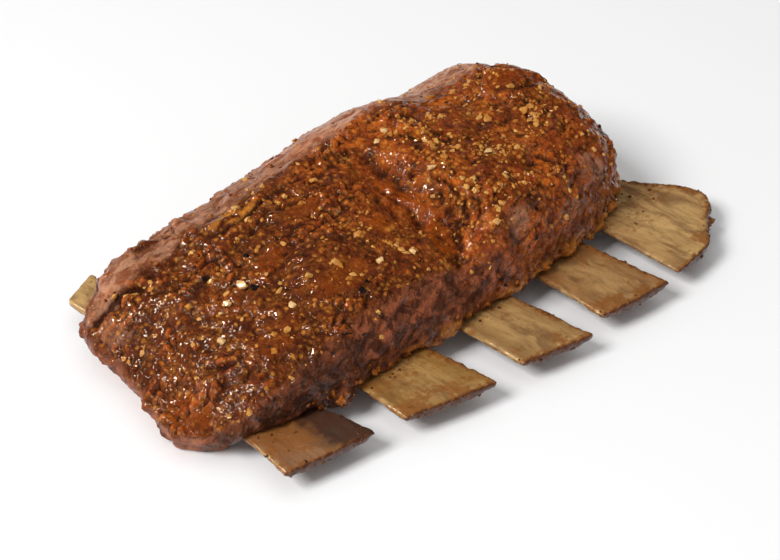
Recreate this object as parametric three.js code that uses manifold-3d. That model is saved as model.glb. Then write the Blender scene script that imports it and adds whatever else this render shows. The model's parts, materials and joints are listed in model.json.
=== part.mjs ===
// A rack of ribs: a thick slab of roast meat lying on five flat rib bones, meat side up.
//
// Millimetres, +Z up. X runs along the slab, across the bones. The bones run along Y, with
// their bare ends at -Y. The origin is the middle of the underside of the whole rack's box.
//
// Each bone is one piece from its bare end to its tip behind the slab. It lies in a channel
// that is open underneath, as in a real rack, where only skin covers the bones' inner side.

import * as THREE from "three";
import { mergeVertices } from "three/addons/utils/BufferGeometryUtils.js";
import Module from "manifold-3d";

// ---------------------------------------------------------------- driving dimensions

const GAP = 0.35; // free space between each bone and the meat around it

const SLAB = {
  left: -144, // the end by bone_1, at half depth
  right: 137, // the end by bone_5, at half depth
  front: -57, // where the bare bone ends come out
  back: 80,
  waist: 12, // height at which the slab is widest
  planExponent: 7, // roundness of the corners seen from above: 2 is an ellipse
  frontExponent: 5, // roundness of the shoulder: the front edge is nearly square,
  endExponent: 4, // the ends are rounder,
  backExponent: 2.5, // and the back falls away in a wide curve
  wedgeFrom: -1.3, // the top climbs from the shoulder's height to the crest's
  wedgeTo: 0.55, // between these two depths, where the front is -1 and the back is 1
};

// Heights along the slab, as [x, z]: of the shoulder over the bare bones, and of the crest
// behind it. The left end is thin, the middle is high and the back of the right end is low.
const SHOULDER = [
  [-150, 20], [-132, 33], [-105, 40], [-60, 46], [-24, 45], [18, 47], [70, 52], [110, 48], [140, 36],
];
const CREST = [
  [-150, 27], [-125, 37], [-95, 44], [-55, 51], [-15, 59],
  [22, 65], [42, 64], [72, 53], [112, 55], [140, 42],
];

// How the four sides of the slab's plan depart from a straight line. A slant leans a side, a
// bend curves it towards its ends, and a heel is a short swelling with its place and half-width.
const SIDES = {
  left: { slant: 5, bend: 3, heel: 5, heelAt: -0.5, heelHalf: 0.35 },
  right: { slant: 4, bend: 8 },
  front: { bend: 10, heel: 4, heelAt: 0.35, heelHalf: 0.5 },
  back: { bend: 3 },
};

// How far the slab draws in from its waist to its flat base, on each side. At the left of the
// front, beyond flapFrom, a flap of meat hangs down, which draws in less.
const TUCK = { left: 5, right: 6, front: 21, back: 7, flap: 7, flapFrom: 0.72, flapTo: 0.92 };

// Smooth swellings and hollows of the top, each with its place, its half-widths and its rise.
// `turn` slants one by that many millimetres of x for each millimetre of y.
const SWELLINGS = [
  { name: "right muscle", x: 104, y: 4, halfX: 38, halfY: 38, rise: 20, turn: 0.1 },
  { name: "seam between the muscles", x: -1, y: -24, halfX: 13, halfY: 40, rise: -7, turn: 0.1 },
  { name: "shoulder of the right muscle", x: 26, y: -26, halfX: 20, halfY: 32, rise: 4, turn: 0.1 },
  { name: "left muscle", x: -52, y: -18, halfX: 34, halfY: 34, rise: 3, turn: 0 },
  { name: "drooping corner", x: -150, y: -22, halfX: 24, halfY: 42, rise: -8, turn: 0 },
];

// The bones, from the left. Each has two long edges, at left and right, which run from the
// back at y to the bare end in front. The back is cut on a slant of `skew`. The bare end runs
// from leftY to rightY, `bow` rounds it outwards and `corner` rounds off its right.
const BONES = [
  {
    back: { y: 87, left: -126, right: -105, skew: 9 },
    front: { left: -137, right: -93, leftY: -74, rightY: -82, bow: 0.5, corner: 0 },
  },
  {
    back: { y: 83, left: -73, right: -42, skew: 3 },
    front: { left: -79, right: -33, leftY: -85, rightY: -97, bow: 0.5, corner: 0 },
  },
  {
    back: { y: 82, left: -16, right: 14, skew: -2 },
    front: { left: -17, right: 21, leftY: -96, rightY: -106, bow: 0.5, corner: 0 },
  },
  {
    back: { y: 81, left: 42, right: 70, skew: 2 },
    front: { left: 34, right: 76, leftY: -100, rightY: -106, bow: 1, corner: 0 },
  },
  {
    back: { y: 79, left: 92, right: 121, skew: -4 },
    front: { left: 85, right: 149, leftY: -104, rightY: -85, bow: 6, corner: 14 },
  },
];

const RIB = {
  top: 14.2, // height of the flat upper face at the two ends
  thickness: 5.4, // in the middle, where the belly is deepest
  edge: 1.8, // thickness left at the two long edges
  dish: 0.7, // the upper face is hollowed by this much along its middle
  shoulder: 0.9, // and rounded down by this much at its long edges,
  shoulderExponent: 6, // over a narrow strip
  cornerExponent: 8, // a rounded corner of the bare end is tight too
  backSlantTo: 0.3, // shares of the length over which the slanted ends
  frontSlantFrom: 0.6, // fade into the straight stations between them
  sag: 7, // how far the bone dips between its ends,
  sagMiddle: 12, // where it lies lowest,
  sagHalf: 45, // and the half-length of the dip
};

const MESH = { alongX: 44, alongY: 22, alongZ: 8, ribSteps: 14, ribHalfPoints: 5, overrun: 30 };

// ---------------------------------------------------------------- small helpers

const lerp = THREE.MathUtils.lerp;
const bell = (t) => Math.exp(-t * t);

/** Smooth step from 0 at `from` to 1 at `to`. */
function ease(value, from, to) {
  const t = THREE.MathUtils.clamp((value - from) / (to - from), 0, 1);
  return t * t * (3 - 2 * t);
}

/** Height at `x` of a smooth line through [x, z] points. */
function heightAt(points, x) {
  const last = points.length - 1;
  if (x <= points[0][0]) return points[0][1];
  if (x >= points[last][0]) return points[last][1];
  const i = points.findIndex((point) => point[0] > x) - 1;
  const slope = (k) => {
    const before = points[Math.max(k - 1, 0)];
    const after = points[Math.min(k + 1, last)];
    return (after[1] - before[1]) / (after[0] - before[0]);
  };
  const width = points[i + 1][0] - points[i][0];
  const t = (x - points[i][0]) / width;
  const rise = points[i + 1][1] - points[i][1];
  const easing = t * t * (3 - 2 * t);
  const leaving = t * (1 - t) * (1 - t) * width * slope(i);
  const arriving = t * t * (t - 1) * width * slope(i + 1);
  return points[i][1] + rise * easing + leaving + arriving;
}

/** Moves every vertex of a geometry and returns it as one closed, merged surface. */
function shaped(geometry, move) {
  geometry.deleteAttribute("normal");
  geometry.deleteAttribute("uv");
  const merged = mergeVertices(geometry, 1e-4);
  const position = merged.getAttribute("position");
  const point = new THREE.Vector3();
  for (let i = 0; i < position.count; i++) {
    point.fromBufferAttribute(position, i);
    move(point);
    position.setXYZ(i, point.x, point.y, point.z);
  }
  return merged;
}

// ---------------------------------------------------------------- the slab of meat

/** How far a side's heel swells out at t, from -1 to 1 along that side. */
const heel = (side, t) => side.heel * bell((t - side.heelAt) / side.heelHalf);

/** Left end of the slab's plan at depth b, from -1 in front to 1 behind. */
function leftEdge(b) {
  const side = SIDES.left;
  return SLAB.left + side.slant * b + side.bend * Math.pow(b, 3) - heel(side, b);
}

/** Right end of the slab's plan at depth b. */
const rightEdge = (b) => SLAB.right + SIDES.right.slant * b - SIDES.right.bend * b * b;

/** Front of the slab's plan at a, from -1 at the left to 1 at the right. */
const frontEdge = (a) => SLAB.front - heel(SIDES.front, a) + SIDES.front.bend * Math.pow(a, 4);

/** Back of the slab's plan at a. */
const backEdge = (a) => SLAB.back - SIDES.back.bend * a * a;

/** Height of the slab's top at (x, y), before its edges are rounded off. */
function topHeight(x, y, b) {
  let height = lerp(heightAt(SHOULDER, x), heightAt(CREST, x), ease(b, SLAB.wedgeFrom, SLAB.wedgeTo));
  for (const s of SWELLINGS) {
    const across = (x - s.x - s.turn * (y - s.y)) / s.halfX;
    height += s.rise * bell(across) * bell((y - s.y) / s.halfY);
  }
  return height;
}

/** How square the rounded shoulder is on the side that the direction (px, py) points to. */
function roundness(px, py) {
  const sideways = ease(Math.abs(px) - Math.abs(py), -0.5, 0.5);
  const frontOrBack = lerp(SLAB.frontExponent, SLAB.backExponent, ease(py, -0.7, 0.7));
  return lerp(frontOrBack, SLAB.endExponent, sideways);
}

/** The slab before its channels are cut: a box pulled over a rounded wedge. */
function slabGeometry() {
  const box = new THREE.BoxGeometry(2, 2, 2, MESH.alongX, MESH.alongY, MESH.alongZ);
  return shaped(box, (p) => {
    const plan = Math.pow(
      Math.pow(Math.abs(p.x), SLAB.planExponent) + Math.pow(Math.abs(p.y), SLAB.planExponent),
      1 / SLAB.planExponent,
    );
    const spread = Math.max(Math.abs(p.x), Math.abs(p.y));
    const upper = Math.max(p.z, 0);
    const exponent = roundness(p.x, p.y);
    // Upper half: the point slides along its ray to the rounded shoulder.
    // Lower half: it keeps its place in plan, up to the rounded outline.
    const ray = Math.pow(Math.pow(plan, exponent) + Math.pow(upper, exponent), 1 / exponent);
    const scale = p.z >= 0 ? 1 / ray : spread / Math.max(plan, 1e-9);
    const a = p.x * scale;
    const b = p.y * scale;
    const share = p.z >= 0 ? upper / ray : 0;
    const down = p.z < 0 ? -p.z : 0;

    let x = lerp(leftEdge(b), rightEdge(b), (a + 1) / 2);
    let y = lerp(frontEdge(a), backEdge(a), (b + 1) / 2);
    if (p.z >= 0) {
      p.set(x, y, lerp(SLAB.waist, topHeight(x, y, b), share));
      return;
    }
    const tuck = ease(down, 0, 0.85);
    x += tuck * (a < 0 ? -TUCK.left * a : -TUCK.right * a);
    const frontTuck = lerp(TUCK.front, TUCK.flap, ease(-a, TUCK.flapFrom, TUCK.flapTo));
    y += tuck * (b < 0 ? -frontTuck * b : -TUCK.back * b);
    p.set(x, y, SLAB.waist * (1 - down));
  });
}

// ---------------------------------------------------------------- the bones

/**
 * Cross-section of a rib, one unit wide and centred, as [across, height] pairs from the
 * upper face: that face is dished and the belly is round. With `open`, the sides run straight
 * down instead of meeting in a belly, which gives the channel that holds the bone.
 */
function ribSection(grow, open) {
  const n = MESH.ribHalfPoints;
  const upper = [];
  const lower = [];
  for (let i = -n; i <= n; i++) {
    const t = i / n;
    const across = Math.sin((t * Math.PI) / 2) / 2;
    const round = Math.pow(Math.abs(2 * across), RIB.shoulderExponent);
    upper.push([across, grow - RIB.dish * (1 - t * t) - RIB.shoulder * round]);
    const fullness = Math.sqrt(Math.max(0, 1 - 4 * across * across));
    lower.push([across, -RIB.shoulder - lerp(RIB.edge, RIB.thickness - RIB.shoulder, fullness)]);
  }
  if (open) return [...upper, [0.5, -2 * RIB.top], [-0.5, -2 * RIB.top]];
  return [...upper, ...lower.reverse()];
}

/** A rib, or with `grow` above 0 the channel that clears it by that much. */
function ribGeometry({ back, front }, grow = 0) {
  const open = grow > 0;
  const outline = ribSection(grow, open).map(([u, w]) => new THREE.Vector2(u, w));
  // A channel has one step more at each end, which runs it out of the slab.
  const steps = MESH.ribSteps + (open ? 2 : 0);
  const extrude = new THREE.ExtrudeGeometry(new THREE.Shape(outline), {
    depth: steps,
    steps,
    bevelEnabled: false,
  });
  const foremostY = Math.min(front.leftY, front.rightY);
  return shaped(extrude, (p) => {
    const step = Math.round(p.z) - (open ? 1 : 0);
    const along = THREE.MathUtils.clamp(step / MESH.ribSteps, 0, 1);
    const overrun = step < 0 ? MESH.overrun : step > MESH.ribSteps ? -MESH.overrun : 0;
    const straightY = lerp(back.y, foremostY, along);
    const flare = along * along;
    const left = lerp(back.left, front.left, flare) - grow;
    const right = lerp(back.right, front.right, flare) + grow;
    const side = p.x + 0.5;
    const backSlant = back.skew * (side - 0.5) * (1 - ease(along, 0, RIB.backSlantTo));
    const bow = front.bow * 4 * side * (1 - side) - front.corner * Math.pow(side, RIB.cornerExponent);
    const frontSlant = lerp(front.leftY, front.rightY, side) - bow - foremostY;
    const y = straightY + backSlant + frontSlant * ease(along, RIB.frontSlantFrom, 1) + overrun;
    const dip = RIB.sag * bell((straightY - RIB.sagMiddle) / RIB.sagHalf);
    p.set(lerp(left, right, side), y, RIB.top - dip + p.y);
  });
}

// ---------------------------------------------------------------- solids

const wasm = await Module();
wasm.setup();

/** A closed geometry as a manifold-3d solid. */
function solid(geometry) {
  return new wasm.Manifold(
    new wasm.Mesh({
      numProp: 3,
      vertProperties: geometry.getAttribute("position").array,
      triVerts: new Uint32Array(geometry.index.array),
    }),
  );
}

/** A manifold-3d solid as a geometry with normals. */
function geometryOf(made) {
  const mesh = made.getMesh();
  const stride = mesh.numProp;
  const vertices = new Float32Array(mesh.numVert * 3);
  for (let i = 0; i < mesh.numVert; i++) {
    vertices.set(mesh.vertProperties.subarray(i * stride, i * stride + 3), i * 3);
  }
  const geometry = new THREE.BufferGeometry();
  geometry.setAttribute("position", new THREE.BufferAttribute(vertices, 3));
  geometry.setIndex(new THREE.BufferAttribute(mesh.triVerts, 1));
  geometry.computeVertexNormals();
  return geometry;
}

const meatFinish = new THREE.MeshStandardMaterial({
  color: 0x6e3414,
  roughness: 0.42,
  metalness: 0,
});
const boneFinish = new THREE.MeshStandardMaterial({
  color: 0xa08252,
  roughness: 0.5,
  metalness: 0,
});

function named(name, geometry, material) {
  const mesh = new THREE.Mesh(geometry, material);
  mesh.name = name;
  return mesh;
}

const rack = new THREE.Group();

let slab = solid(slabGeometry());
for (const rib of BONES) slab = slab.subtract(solid(ribGeometry(rib, GAP)));
rack.add(named("meat", geometryOf(slab), meatFinish));

BONES.forEach((rib, i) => {
  rack.add(named(`bone_${i + 1}`, ribGeometry(rib), boneFinish));
});

// The origin goes to the middle of the underside of the whole rack.
const box = new THREE.Box3().setFromObject(rack);
const centre = box.getCenter(new THREE.Vector3());
rack.position.set(-centre.x, -centre.y, -box.min.z);

export default rack;
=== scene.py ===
"""A roast rack of beef ribs: a thick glazed slab of meat lying on five flat rib bones.

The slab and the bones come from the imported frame, which gives every shape its size and place.
This script turns them into finished pieces: the crust's wrinkles, cracks and lobes are real
relief on a fine mesh, and the chopped garlic, pepper, shreds and glaze beads are real grains.

Lengths inside the classes are millimetres. `MM` turns them into metres where a mesh is made.
"""

from __future__ import annotations

import json
import logging
import math
from dataclasses import dataclass, field
from enum import Enum
from itertools import product

import bmesh
import bpy
import numpy as np
from mathutils import Matrix, Vector

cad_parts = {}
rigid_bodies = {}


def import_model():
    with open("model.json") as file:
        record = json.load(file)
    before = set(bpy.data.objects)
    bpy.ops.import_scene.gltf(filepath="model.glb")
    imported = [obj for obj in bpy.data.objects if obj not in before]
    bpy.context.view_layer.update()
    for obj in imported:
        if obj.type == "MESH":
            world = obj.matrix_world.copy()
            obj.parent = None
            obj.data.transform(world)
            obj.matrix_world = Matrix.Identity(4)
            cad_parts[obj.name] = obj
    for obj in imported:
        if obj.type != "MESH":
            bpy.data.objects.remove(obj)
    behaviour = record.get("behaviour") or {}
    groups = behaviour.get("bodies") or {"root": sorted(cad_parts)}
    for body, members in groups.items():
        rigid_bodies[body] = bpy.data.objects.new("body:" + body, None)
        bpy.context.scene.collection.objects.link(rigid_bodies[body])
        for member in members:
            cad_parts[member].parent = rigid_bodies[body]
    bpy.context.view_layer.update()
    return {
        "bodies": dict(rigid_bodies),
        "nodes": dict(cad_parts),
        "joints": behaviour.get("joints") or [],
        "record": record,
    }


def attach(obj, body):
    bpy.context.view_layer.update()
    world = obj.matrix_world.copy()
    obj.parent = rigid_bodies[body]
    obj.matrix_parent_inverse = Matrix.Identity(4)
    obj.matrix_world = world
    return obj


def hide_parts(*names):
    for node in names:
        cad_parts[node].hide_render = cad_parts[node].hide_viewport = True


MM = 0.001
BODY = "root"
WARM_WHITE = (1.0, 0.86, 0.68)
log = logging.getLogger("rack_of_ribs")

Triple = tuple[float, float, float]
Colour = tuple[float, float, float, float]
Path = tuple[tuple[float, float], ...]


# ---------------------------------------------------------------- small helpers


def tone(red: int, green: int, blue: int) -> Colour:
    """A display colour of 0 to 255 a channel, as the linear colour that a shader takes.

    Args:
        red: Red share on the display.
        green: Green share on the display.
        blue: Blue share on the display.

    Returns:
        Linear red, green, blue and an opaque alpha.
    """

    def linear(value: int) -> float:
        """One channel's linear share."""
        share = value / 255.0
        return share / 12.92 if share <= 0.04045 else ((share + 0.055) / 1.055) ** 2.4

    return linear(red), linear(green), linear(blue), 1.0


def ease(value: np.ndarray, low: float, high: float) -> np.ndarray:
    """Smooth step from 0 at `low` to 1 at `high`, whichever of the two is larger."""
    share = np.clip((value - low) / (high - low), 0.0, 1.0)
    return share * share * (3.0 - 2.0 * share)


def bell(value: np.ndarray) -> np.ndarray:
    """Bell curve that is 1 at 0 and nearly 0 beyond 2."""
    return np.exp(-value * value)


def along_path(places: np.ndarray, path: Path) -> tuple[np.ndarray, np.ndarray]:
    """Nearest distance from plan places to a line through points.

    Args:
        places: Plan places, one row of x and y each.
        path: The line's points, as x and y.

    Returns:
        The distance of each place, positive on the line's left, and its share of the way along.
    """
    best = np.full(len(places), 1e9)
    side = np.ones(len(places))
    share = np.zeros(len(places))
    steps = len(path) - 1
    for index in range(steps):
        start, end = np.array(path[index]), np.array(path[index + 1])
        run = end - start
        t = np.clip(((places - start) @ run) / (run @ run), 0.0, 1.0)
        gap = places - (start + t[:, None] * run)
        distance = np.hypot(gap[:, 0], gap[:, 1])
        nearer = distance < best
        best = np.where(nearer, distance, best)
        side = np.where(nearer, np.sign(run[0] * gap[:, 1] - run[1] * gap[:, 0]), side)
        share = np.where(nearer, (index + t) / steps, share)
    return best * np.where(side == 0, 1, side), share


class Noise:
    """Repeatable solid noise, worked out for a whole array of points at once."""

    EDGES = np.array(
        [
            (1, 1, 0), (-1, 1, 0), (1, -1, 0), (-1, -1, 0),
            (1, 0, 1), (-1, 0, 1), (1, 0, -1), (-1, 0, -1),
            (0, 1, 1), (0, -1, 1), (0, 1, -1), (0, -1, -1),
            (1, 1, 0), (-1, 1, 0), (0, -1, 1), (0, -1, -1),
        ],
        float,
    )

    @staticmethod
    def hashed(cell: np.ndarray, seed: int) -> np.ndarray:
        """A whole number from 0 to 65535 for each cell of a grid.

        Args:
            cell: Grid cells, one row of three whole numbers each.
            seed: Chooses one of many hashes.

        Returns:
            One number for each row.
        """
        mixed = cell[:, 0] * 73856093 ^ cell[:, 1] * 19349663 ^ cell[:, 2] * 83492791
        mixed = mixed ^ (seed * 2654435761)
        mixed = (mixed ^ (mixed >> 15)) * 2246822519 & 0xFFFFFFFF
        mixed = (mixed ^ (mixed >> 13)) * 3266489917 & 0xFFFFFFFF
        return (mixed >> 8) & 0xFFFF

    @classmethod
    def waves(cls, places: np.ndarray, size: float, seed: int) -> np.ndarray:
        """Gradient noise.

        Args:
            places: Points in space.
            size: Distance between swells.
            seed: Chooses the pattern.

        Returns:
            A height from about -1 to 1 for each point.
        """
        scaled = places / size
        cell = np.floor(scaled).astype(np.int64)
        inside = scaled - cell
        smooth = inside**3 * (inside * (inside * 6 - 15) + 10)
        total = np.zeros(len(places))
        for corner in product((0, 1), repeat=3):
            offset = np.array(corner)
            lean = cls.EDGES[cls.hashed(cell + offset, seed) & 15]
            share = np.prod(np.where(offset, smooth, 1 - smooth), axis=1)
            total += share * np.sum(lean * (inside - offset), axis=1)
        return total * 1.1

    @classmethod
    def rough(cls, places: np.ndarray, size: float, seed: int, octaves: int = 3) -> np.ndarray:
        """Waves with finer waves on them, each octave half as large and half as high.

        Args:
            places: Points in space.
            size: Distance between the largest swells.
            seed: Chooses the pattern.
            octaves: How many sizes of wave there are.

        Returns:
            A height from about -1.5 to 1.5 for each point.
        """
        total = np.zeros(len(places))
        for octave in range(octaves):
            total += cls.waves(places, size / 2**octave, seed + 17 * octave) / 2**octave
        return total

    @classmethod
    def ridges(cls, places: np.ndarray, size: float, seed: int, octaves: int = 2) -> np.ndarray:
        """Noise of narrow creases.

        Args:
            places: Points in space.
            size: Distance between the largest creases.
            seed: Chooses the pattern.
            octaves: How many sizes of crease there are.

        Returns:
            1 along each crease and near 0 between them.
        """
        total = np.zeros(len(places))
        weight = 0.0
        for octave in range(octaves):
            share = 0.5**octave
            wave = np.abs(cls.waves(places, size / 2**octave, seed + 29 * octave))
            total += share * np.clip(1 - 2.2 * wave, 0, 1) ** 2
            weight += share
        return total / weight

    @classmethod
    def cells(
        cls, places: np.ndarray, size: float, seed: int
    ) -> tuple[np.ndarray, np.ndarray, np.ndarray]:
        """Noise of packed grains about `size` across.

        Args:
            places: Points in space.
            size: Distance between grains.
            seed: Chooses the pattern.

        Returns:
            The distance to the nearest grain's middle and to the next one, in shares of
            `size`, and a random share for the nearest grain.
        """
        scaled = places / size
        cell = np.floor(scaled).astype(np.int64)
        first = np.full(len(places), 9.0)
        second = np.full(len(places), 9.0)
        chance = np.zeros(len(places))
        for corner in product((-1, 0, 1), repeat=3):
            here = cell + np.array(corner)
            middle = np.stack([cls.hashed(here, seed + axis) for axis in (1, 2, 3)], axis=1)
            middle = middle / 65535
            distance = np.linalg.norm(here + middle - scaled, axis=1)
            nearer = distance < first
            second = np.where(nearer, first, np.minimum(second, distance))
            chance = np.where(nearer, cls.hashed(here, seed + 4) / 65535, chance)
            first = np.minimum(first, distance)
        return first, second, chance


class Skin:
    """A mesh held as arrays in millimetres while it is being shaped."""

    def __init__(self, mesh: bpy.types.Mesh) -> None:
        """Reads the mesh's points and edges.

        Args:
            mesh: The mesh, whose lengths are metres.
        """
        self.mesh = mesh
        count = len(mesh.vertices)
        flat = np.zeros(count * 3, np.float32)
        mesh.vertices.foreach_get("co", flat)
        self.points = flat.reshape(-1, 3).astype(float) / MM
        pairs = np.zeros(len(mesh.edges) * 2, np.int32)
        mesh.edges.foreach_get("vertices", pairs)
        self.edges = pairs.reshape(-1, 2)
        self.near = np.maximum(np.bincount(self.edges.ravel(), minlength=count), 1)

    def blurred(self, values: np.ndarray, rounds: int, share: float = 0.5) -> np.ndarray:
        """Evens out one value or one row of values for each point over the mesh.

        Args:
            values: One value or row for each point.
            rounds: How many times each point moves towards the mean of its neighbours.
            share: How far it moves each time.

        Returns:
            The evened values.
        """
        columns = values.reshape(len(self.points), -1).astype(float)
        a, b = self.edges[:, 0], self.edges[:, 1]
        for _ in range(rounds):
            mean = np.empty_like(columns)
            for k in range(columns.shape[1]):
                column = columns[:, k]
                count = len(column)
                mean[:, k] = np.bincount(a, column[b], count) + np.bincount(b, column[a], count)
            columns = columns + share * (mean / self.near[:, None] - columns)
        return columns.reshape(values.shape)

    def normals(self) -> np.ndarray:
        """The direction in which each point's surface faces.

        Returns:
            One row of unit length for each point.
        """
        self.store()
        flat = np.zeros(len(self.points) * 3, np.float32)
        self.mesh.vertices.foreach_get("normal", flat)
        return flat.reshape(-1, 3).astype(float)

    def store(self) -> None:
        """Writes the points back to the mesh."""
        self.mesh.vertices.foreach_set("co", (self.points * MM).astype(np.float32).ravel())
        self.mesh.update()

    def mark(self, name: str, values: np.ndarray) -> None:
        """Keeps one value for each point, cut to 0 to 1, for the finish or for scattering."""
        layer = self.mesh.attributes.get(name) or self.mesh.attributes.new(name, "FLOAT", "POINT")
        layer.data.foreach_set("value", np.clip(values, 0, 1).astype(np.float32))


def new_piece(name: str, mesh: bpy.types.Mesh) -> bpy.types.Object:
    """Puts a mesh into the scene as an object at the origin.

    Args:
        name: The object's name.
        mesh: Its mesh.

    Returns:
        The object.
    """
    piece = bpy.data.objects.new(name, mesh)
    bpy.context.scene.collection.objects.link(piece)
    return piece


def evaluated_mesh(piece: bpy.types.Object) -> bpy.types.Mesh:
    """The plain mesh that a piece's modifiers make."""
    graph = bpy.context.evaluated_depsgraph_get()
    return bpy.data.meshes.new_from_object(piece.evaluated_get(graph))


def closed_copy(node: bpy.types.Object, name: str, voxel: float) -> bpy.types.Object:
    """Copies a frame node and gives the copy an even net of small quads.

    Args:
        node: The frame's node, which is left alone.
        name: The new piece's name.
        voxel: Side of the quads in millimetres.

    Returns:
        The new piece.
    """
    piece = new_piece(name, node.data.copy())
    shape = bmesh.new()
    shape.from_mesh(piece.data)
    bmesh.ops.remove_doubles(shape, verts=shape.verts, dist=0.01 * MM)
    shape.to_mesh(piece.data)
    shape.free()
    remesh = piece.modifiers.new("even net", "REMESH")
    remesh.mode = "VOXEL"
    remesh.voxel_size = voxel * MM
    mesh = evaluated_mesh(piece)
    piece.modifiers.clear()
    piece.data = mesh
    mesh.materials.clear()
    return piece


def refine(piece: bpy.types.Object, wanted: np.ndarray) -> None:
    """Splits some of a piece's faces in four.

    Args:
        piece: The piece.
        wanted: For each point, whether the faces all of whose corners have it are split.
    """
    shape = bmesh.new()
    shape.from_mesh(piece.data)
    shape.faces.ensure_lookup_table()
    chosen = [face for face in shape.faces if all(wanted[corner.index] for corner in face.verts)]
    edges = list({edge for face in chosen for edge in face.edges})
    bmesh.ops.subdivide_edges(shape, edges=edges, cuts=1, use_grid_fill=True)
    shape.to_mesh(piece.data)
    shape.free()


# ---------------------------------------------------------------- finishes


class Nodes:
    """Short names for the shader nodes that the finishes are made of."""

    def __init__(self, tree: bpy.types.NodeTree) -> None:
        """Works in this node tree."""
        self.tree = tree

    def add(self, kind: str, **settings: object) -> bpy.types.Node:
        """Makes a node.

        Args:
            kind: The node's type.
            **settings: Properties to set on it.

        Returns:
            The node.
        """
        node = self.tree.nodes.new(kind)
        for name, value in settings.items():
            setattr(node, name, value)
        return node

    def plug(self, socket: bpy.types.NodeSocket, value: object) -> None:
        """Links a socket to another node's output, or sets its value.

        Args:
            socket: The input.
            value: An output to link, or a plain value.
        """
        if isinstance(value, bpy.types.NodeSocket):
            self.tree.links.new(value, socket)
        else:
            socket.default_value = value

    def place(self) -> bpy.types.NodeSocket:
        """The point's place in the object."""
        return self.add("ShaderNodeTexCoord").outputs["Object"]

    def attribute(self, name: str) -> bpy.types.NodeSocket:
        """A value that the mesh carries at each point."""
        return self.add("ShaderNodeAttribute", attribute_name=name).outputs["Fac"]

    def stretched(
        self, place: bpy.types.NodeSocket, scale: Triple, turn: Triple = (0, 0, 0)
    ) -> bpy.types.NodeSocket:
        """Turns and scales the place that a pattern follows.

        Args:
            place: The place.
            scale: Scale on each axis; below 1 it draws the pattern out.
            turn: Turn about each axis, in radians.

        Returns:
            The new place.
        """
        mapping = self.add("ShaderNodeMapping")
        self.plug(mapping.inputs["Vector"], place)
        mapping.inputs["Scale"].default_value = scale
        mapping.inputs["Rotation"].default_value = turn
        return mapping.outputs["Vector"]

    def noise(
        self, place: bpy.types.NodeSocket, size: float, detail: float = 3.0, warp: float = 0.0
    ) -> bpy.types.NodeSocket:
        """Cloudy noise from 0 to 1.

        Args:
            place: The place that it follows.
            size: Distance between swells, in millimetres.
            detail: How many finer sizes lie on it.
            warp: How much it is twisted.

        Returns:
            The noise's socket.
        """
        node = self.add("ShaderNodeTexNoise")
        self.plug(node.inputs["Vector"], place)
        node.inputs["Scale"].default_value = 1 / (size * MM)
        node.inputs["Detail"].default_value = detail
        node.inputs["Roughness"].default_value = 0.6
        node.inputs["Distortion"].default_value = warp
        return node.outputs["Fac"]

    def wrinkles(
        self, place: bpy.types.NodeSocket, size: float, detail: float
    ) -> bpy.types.NodeSocket:
        """Sharp-edged wrinkles.

        Args:
            place: The place that they follow.
            size: Distance between them, in millimetres.
            detail: How many finer sizes lie on them.

        Returns:
            A height from 0 at the bottom of a wrinkle to 1 between wrinkles.
        """
        node = self.add("ShaderNodeTexNoise", noise_type="RIDGED_MULTIFRACTAL")
        self.plug(node.inputs["Vector"], place)
        node.inputs["Scale"].default_value = 1 / (size * MM)
        node.inputs["Detail"].default_value = detail
        node.inputs["Roughness"].default_value = 0.55
        node.inputs["Distortion"].default_value = 0.5
        return self.step(node.outputs["Fac"], 1.0, 0.2)

    def cells(
        self, place: bpy.types.NodeSocket, size: float
    ) -> tuple[bpy.types.NodeSocket, bpy.types.NodeSocket]:
        """Packed grains.

        Args:
            place: The place that they follow.
            size: Distance between them, in millimetres.

        Returns:
            The distance to the nearest grain's middle, and a random share for that grain.
        """
        node = self.add("ShaderNodeTexVoronoi")
        self.plug(node.inputs["Vector"], place)
        node.inputs["Scale"].default_value = 1 / (size * MM)
        parts = self.add("ShaderNodeSeparateColor")
        self.plug(parts.inputs[0], node.outputs["Color"])
        return node.outputs["Distance"], parts.outputs[0]

    def step(
        self,
        value: bpy.types.NodeSocket,
        low: float,
        high: float,
        top: float = 1.0,
        bottom: float = 0.0,
    ) -> bpy.types.NodeSocket:
        """Smooth step of a value.

        Args:
            value: The value.
            low: Where the step starts.
            high: Where it ends, which may be below `low`.
            top: The result at `high`.
            bottom: The result at `low`.

        Returns:
            The result's socket.
        """
        node = self.add("ShaderNodeMapRange", interpolation_type="SMOOTHSTEP")
        self.plug(node.inputs["Value"], value)
        node.inputs["From Min"].default_value = low
        node.inputs["From Max"].default_value = high
        node.inputs["To Min"].default_value = bottom
        node.inputs["To Max"].default_value = top
        return node.outputs["Result"]

    def sum(self, operation: str, a: object, b: object) -> bpy.types.NodeSocket:
        """Arithmetic on two values.

        Args:
            operation: The Math node's operation.
            a: First value or socket.
            b: Second value or socket.

        Returns:
            The result's socket.
        """
        node = self.add("ShaderNodeMath", operation=operation)
        self.plug(node.inputs[0], a)
        self.plug(node.inputs[1], b)
        return node.outputs[0]

    def mix(self, share: object, first: object, second: object) -> bpy.types.NodeSocket:
        """One colour over another.

        Args:
            share: How much of the second colour shows.
            first: The colour beneath.
            second: The colour on top.

        Returns:
            The mixed colour's socket.
        """
        node = self.add("ShaderNodeMix", data_type="RGBA")
        self.plug(node.inputs[0], share)
        self.plug(node.inputs[6], first)
        self.plug(node.inputs[7], second)
        return node.outputs[2]

    def bump(self, height: bpy.types.NodeSocket, depth: float) -> bpy.types.NodeSocket:
        """A normal that makes heights look like relief.

        Args:
            height: Heights of 0 to 1.
            depth: How deep they look, in millimetres.

        Returns:
            The normal's socket.
        """
        node = self.add("ShaderNodeBump")
        node.inputs["Strength"].default_value = 1.0
        node.inputs["Distance"].default_value = depth * MM
        self.plug(node.inputs["Height"], height)
        return node.outputs["Normal"]


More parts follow.
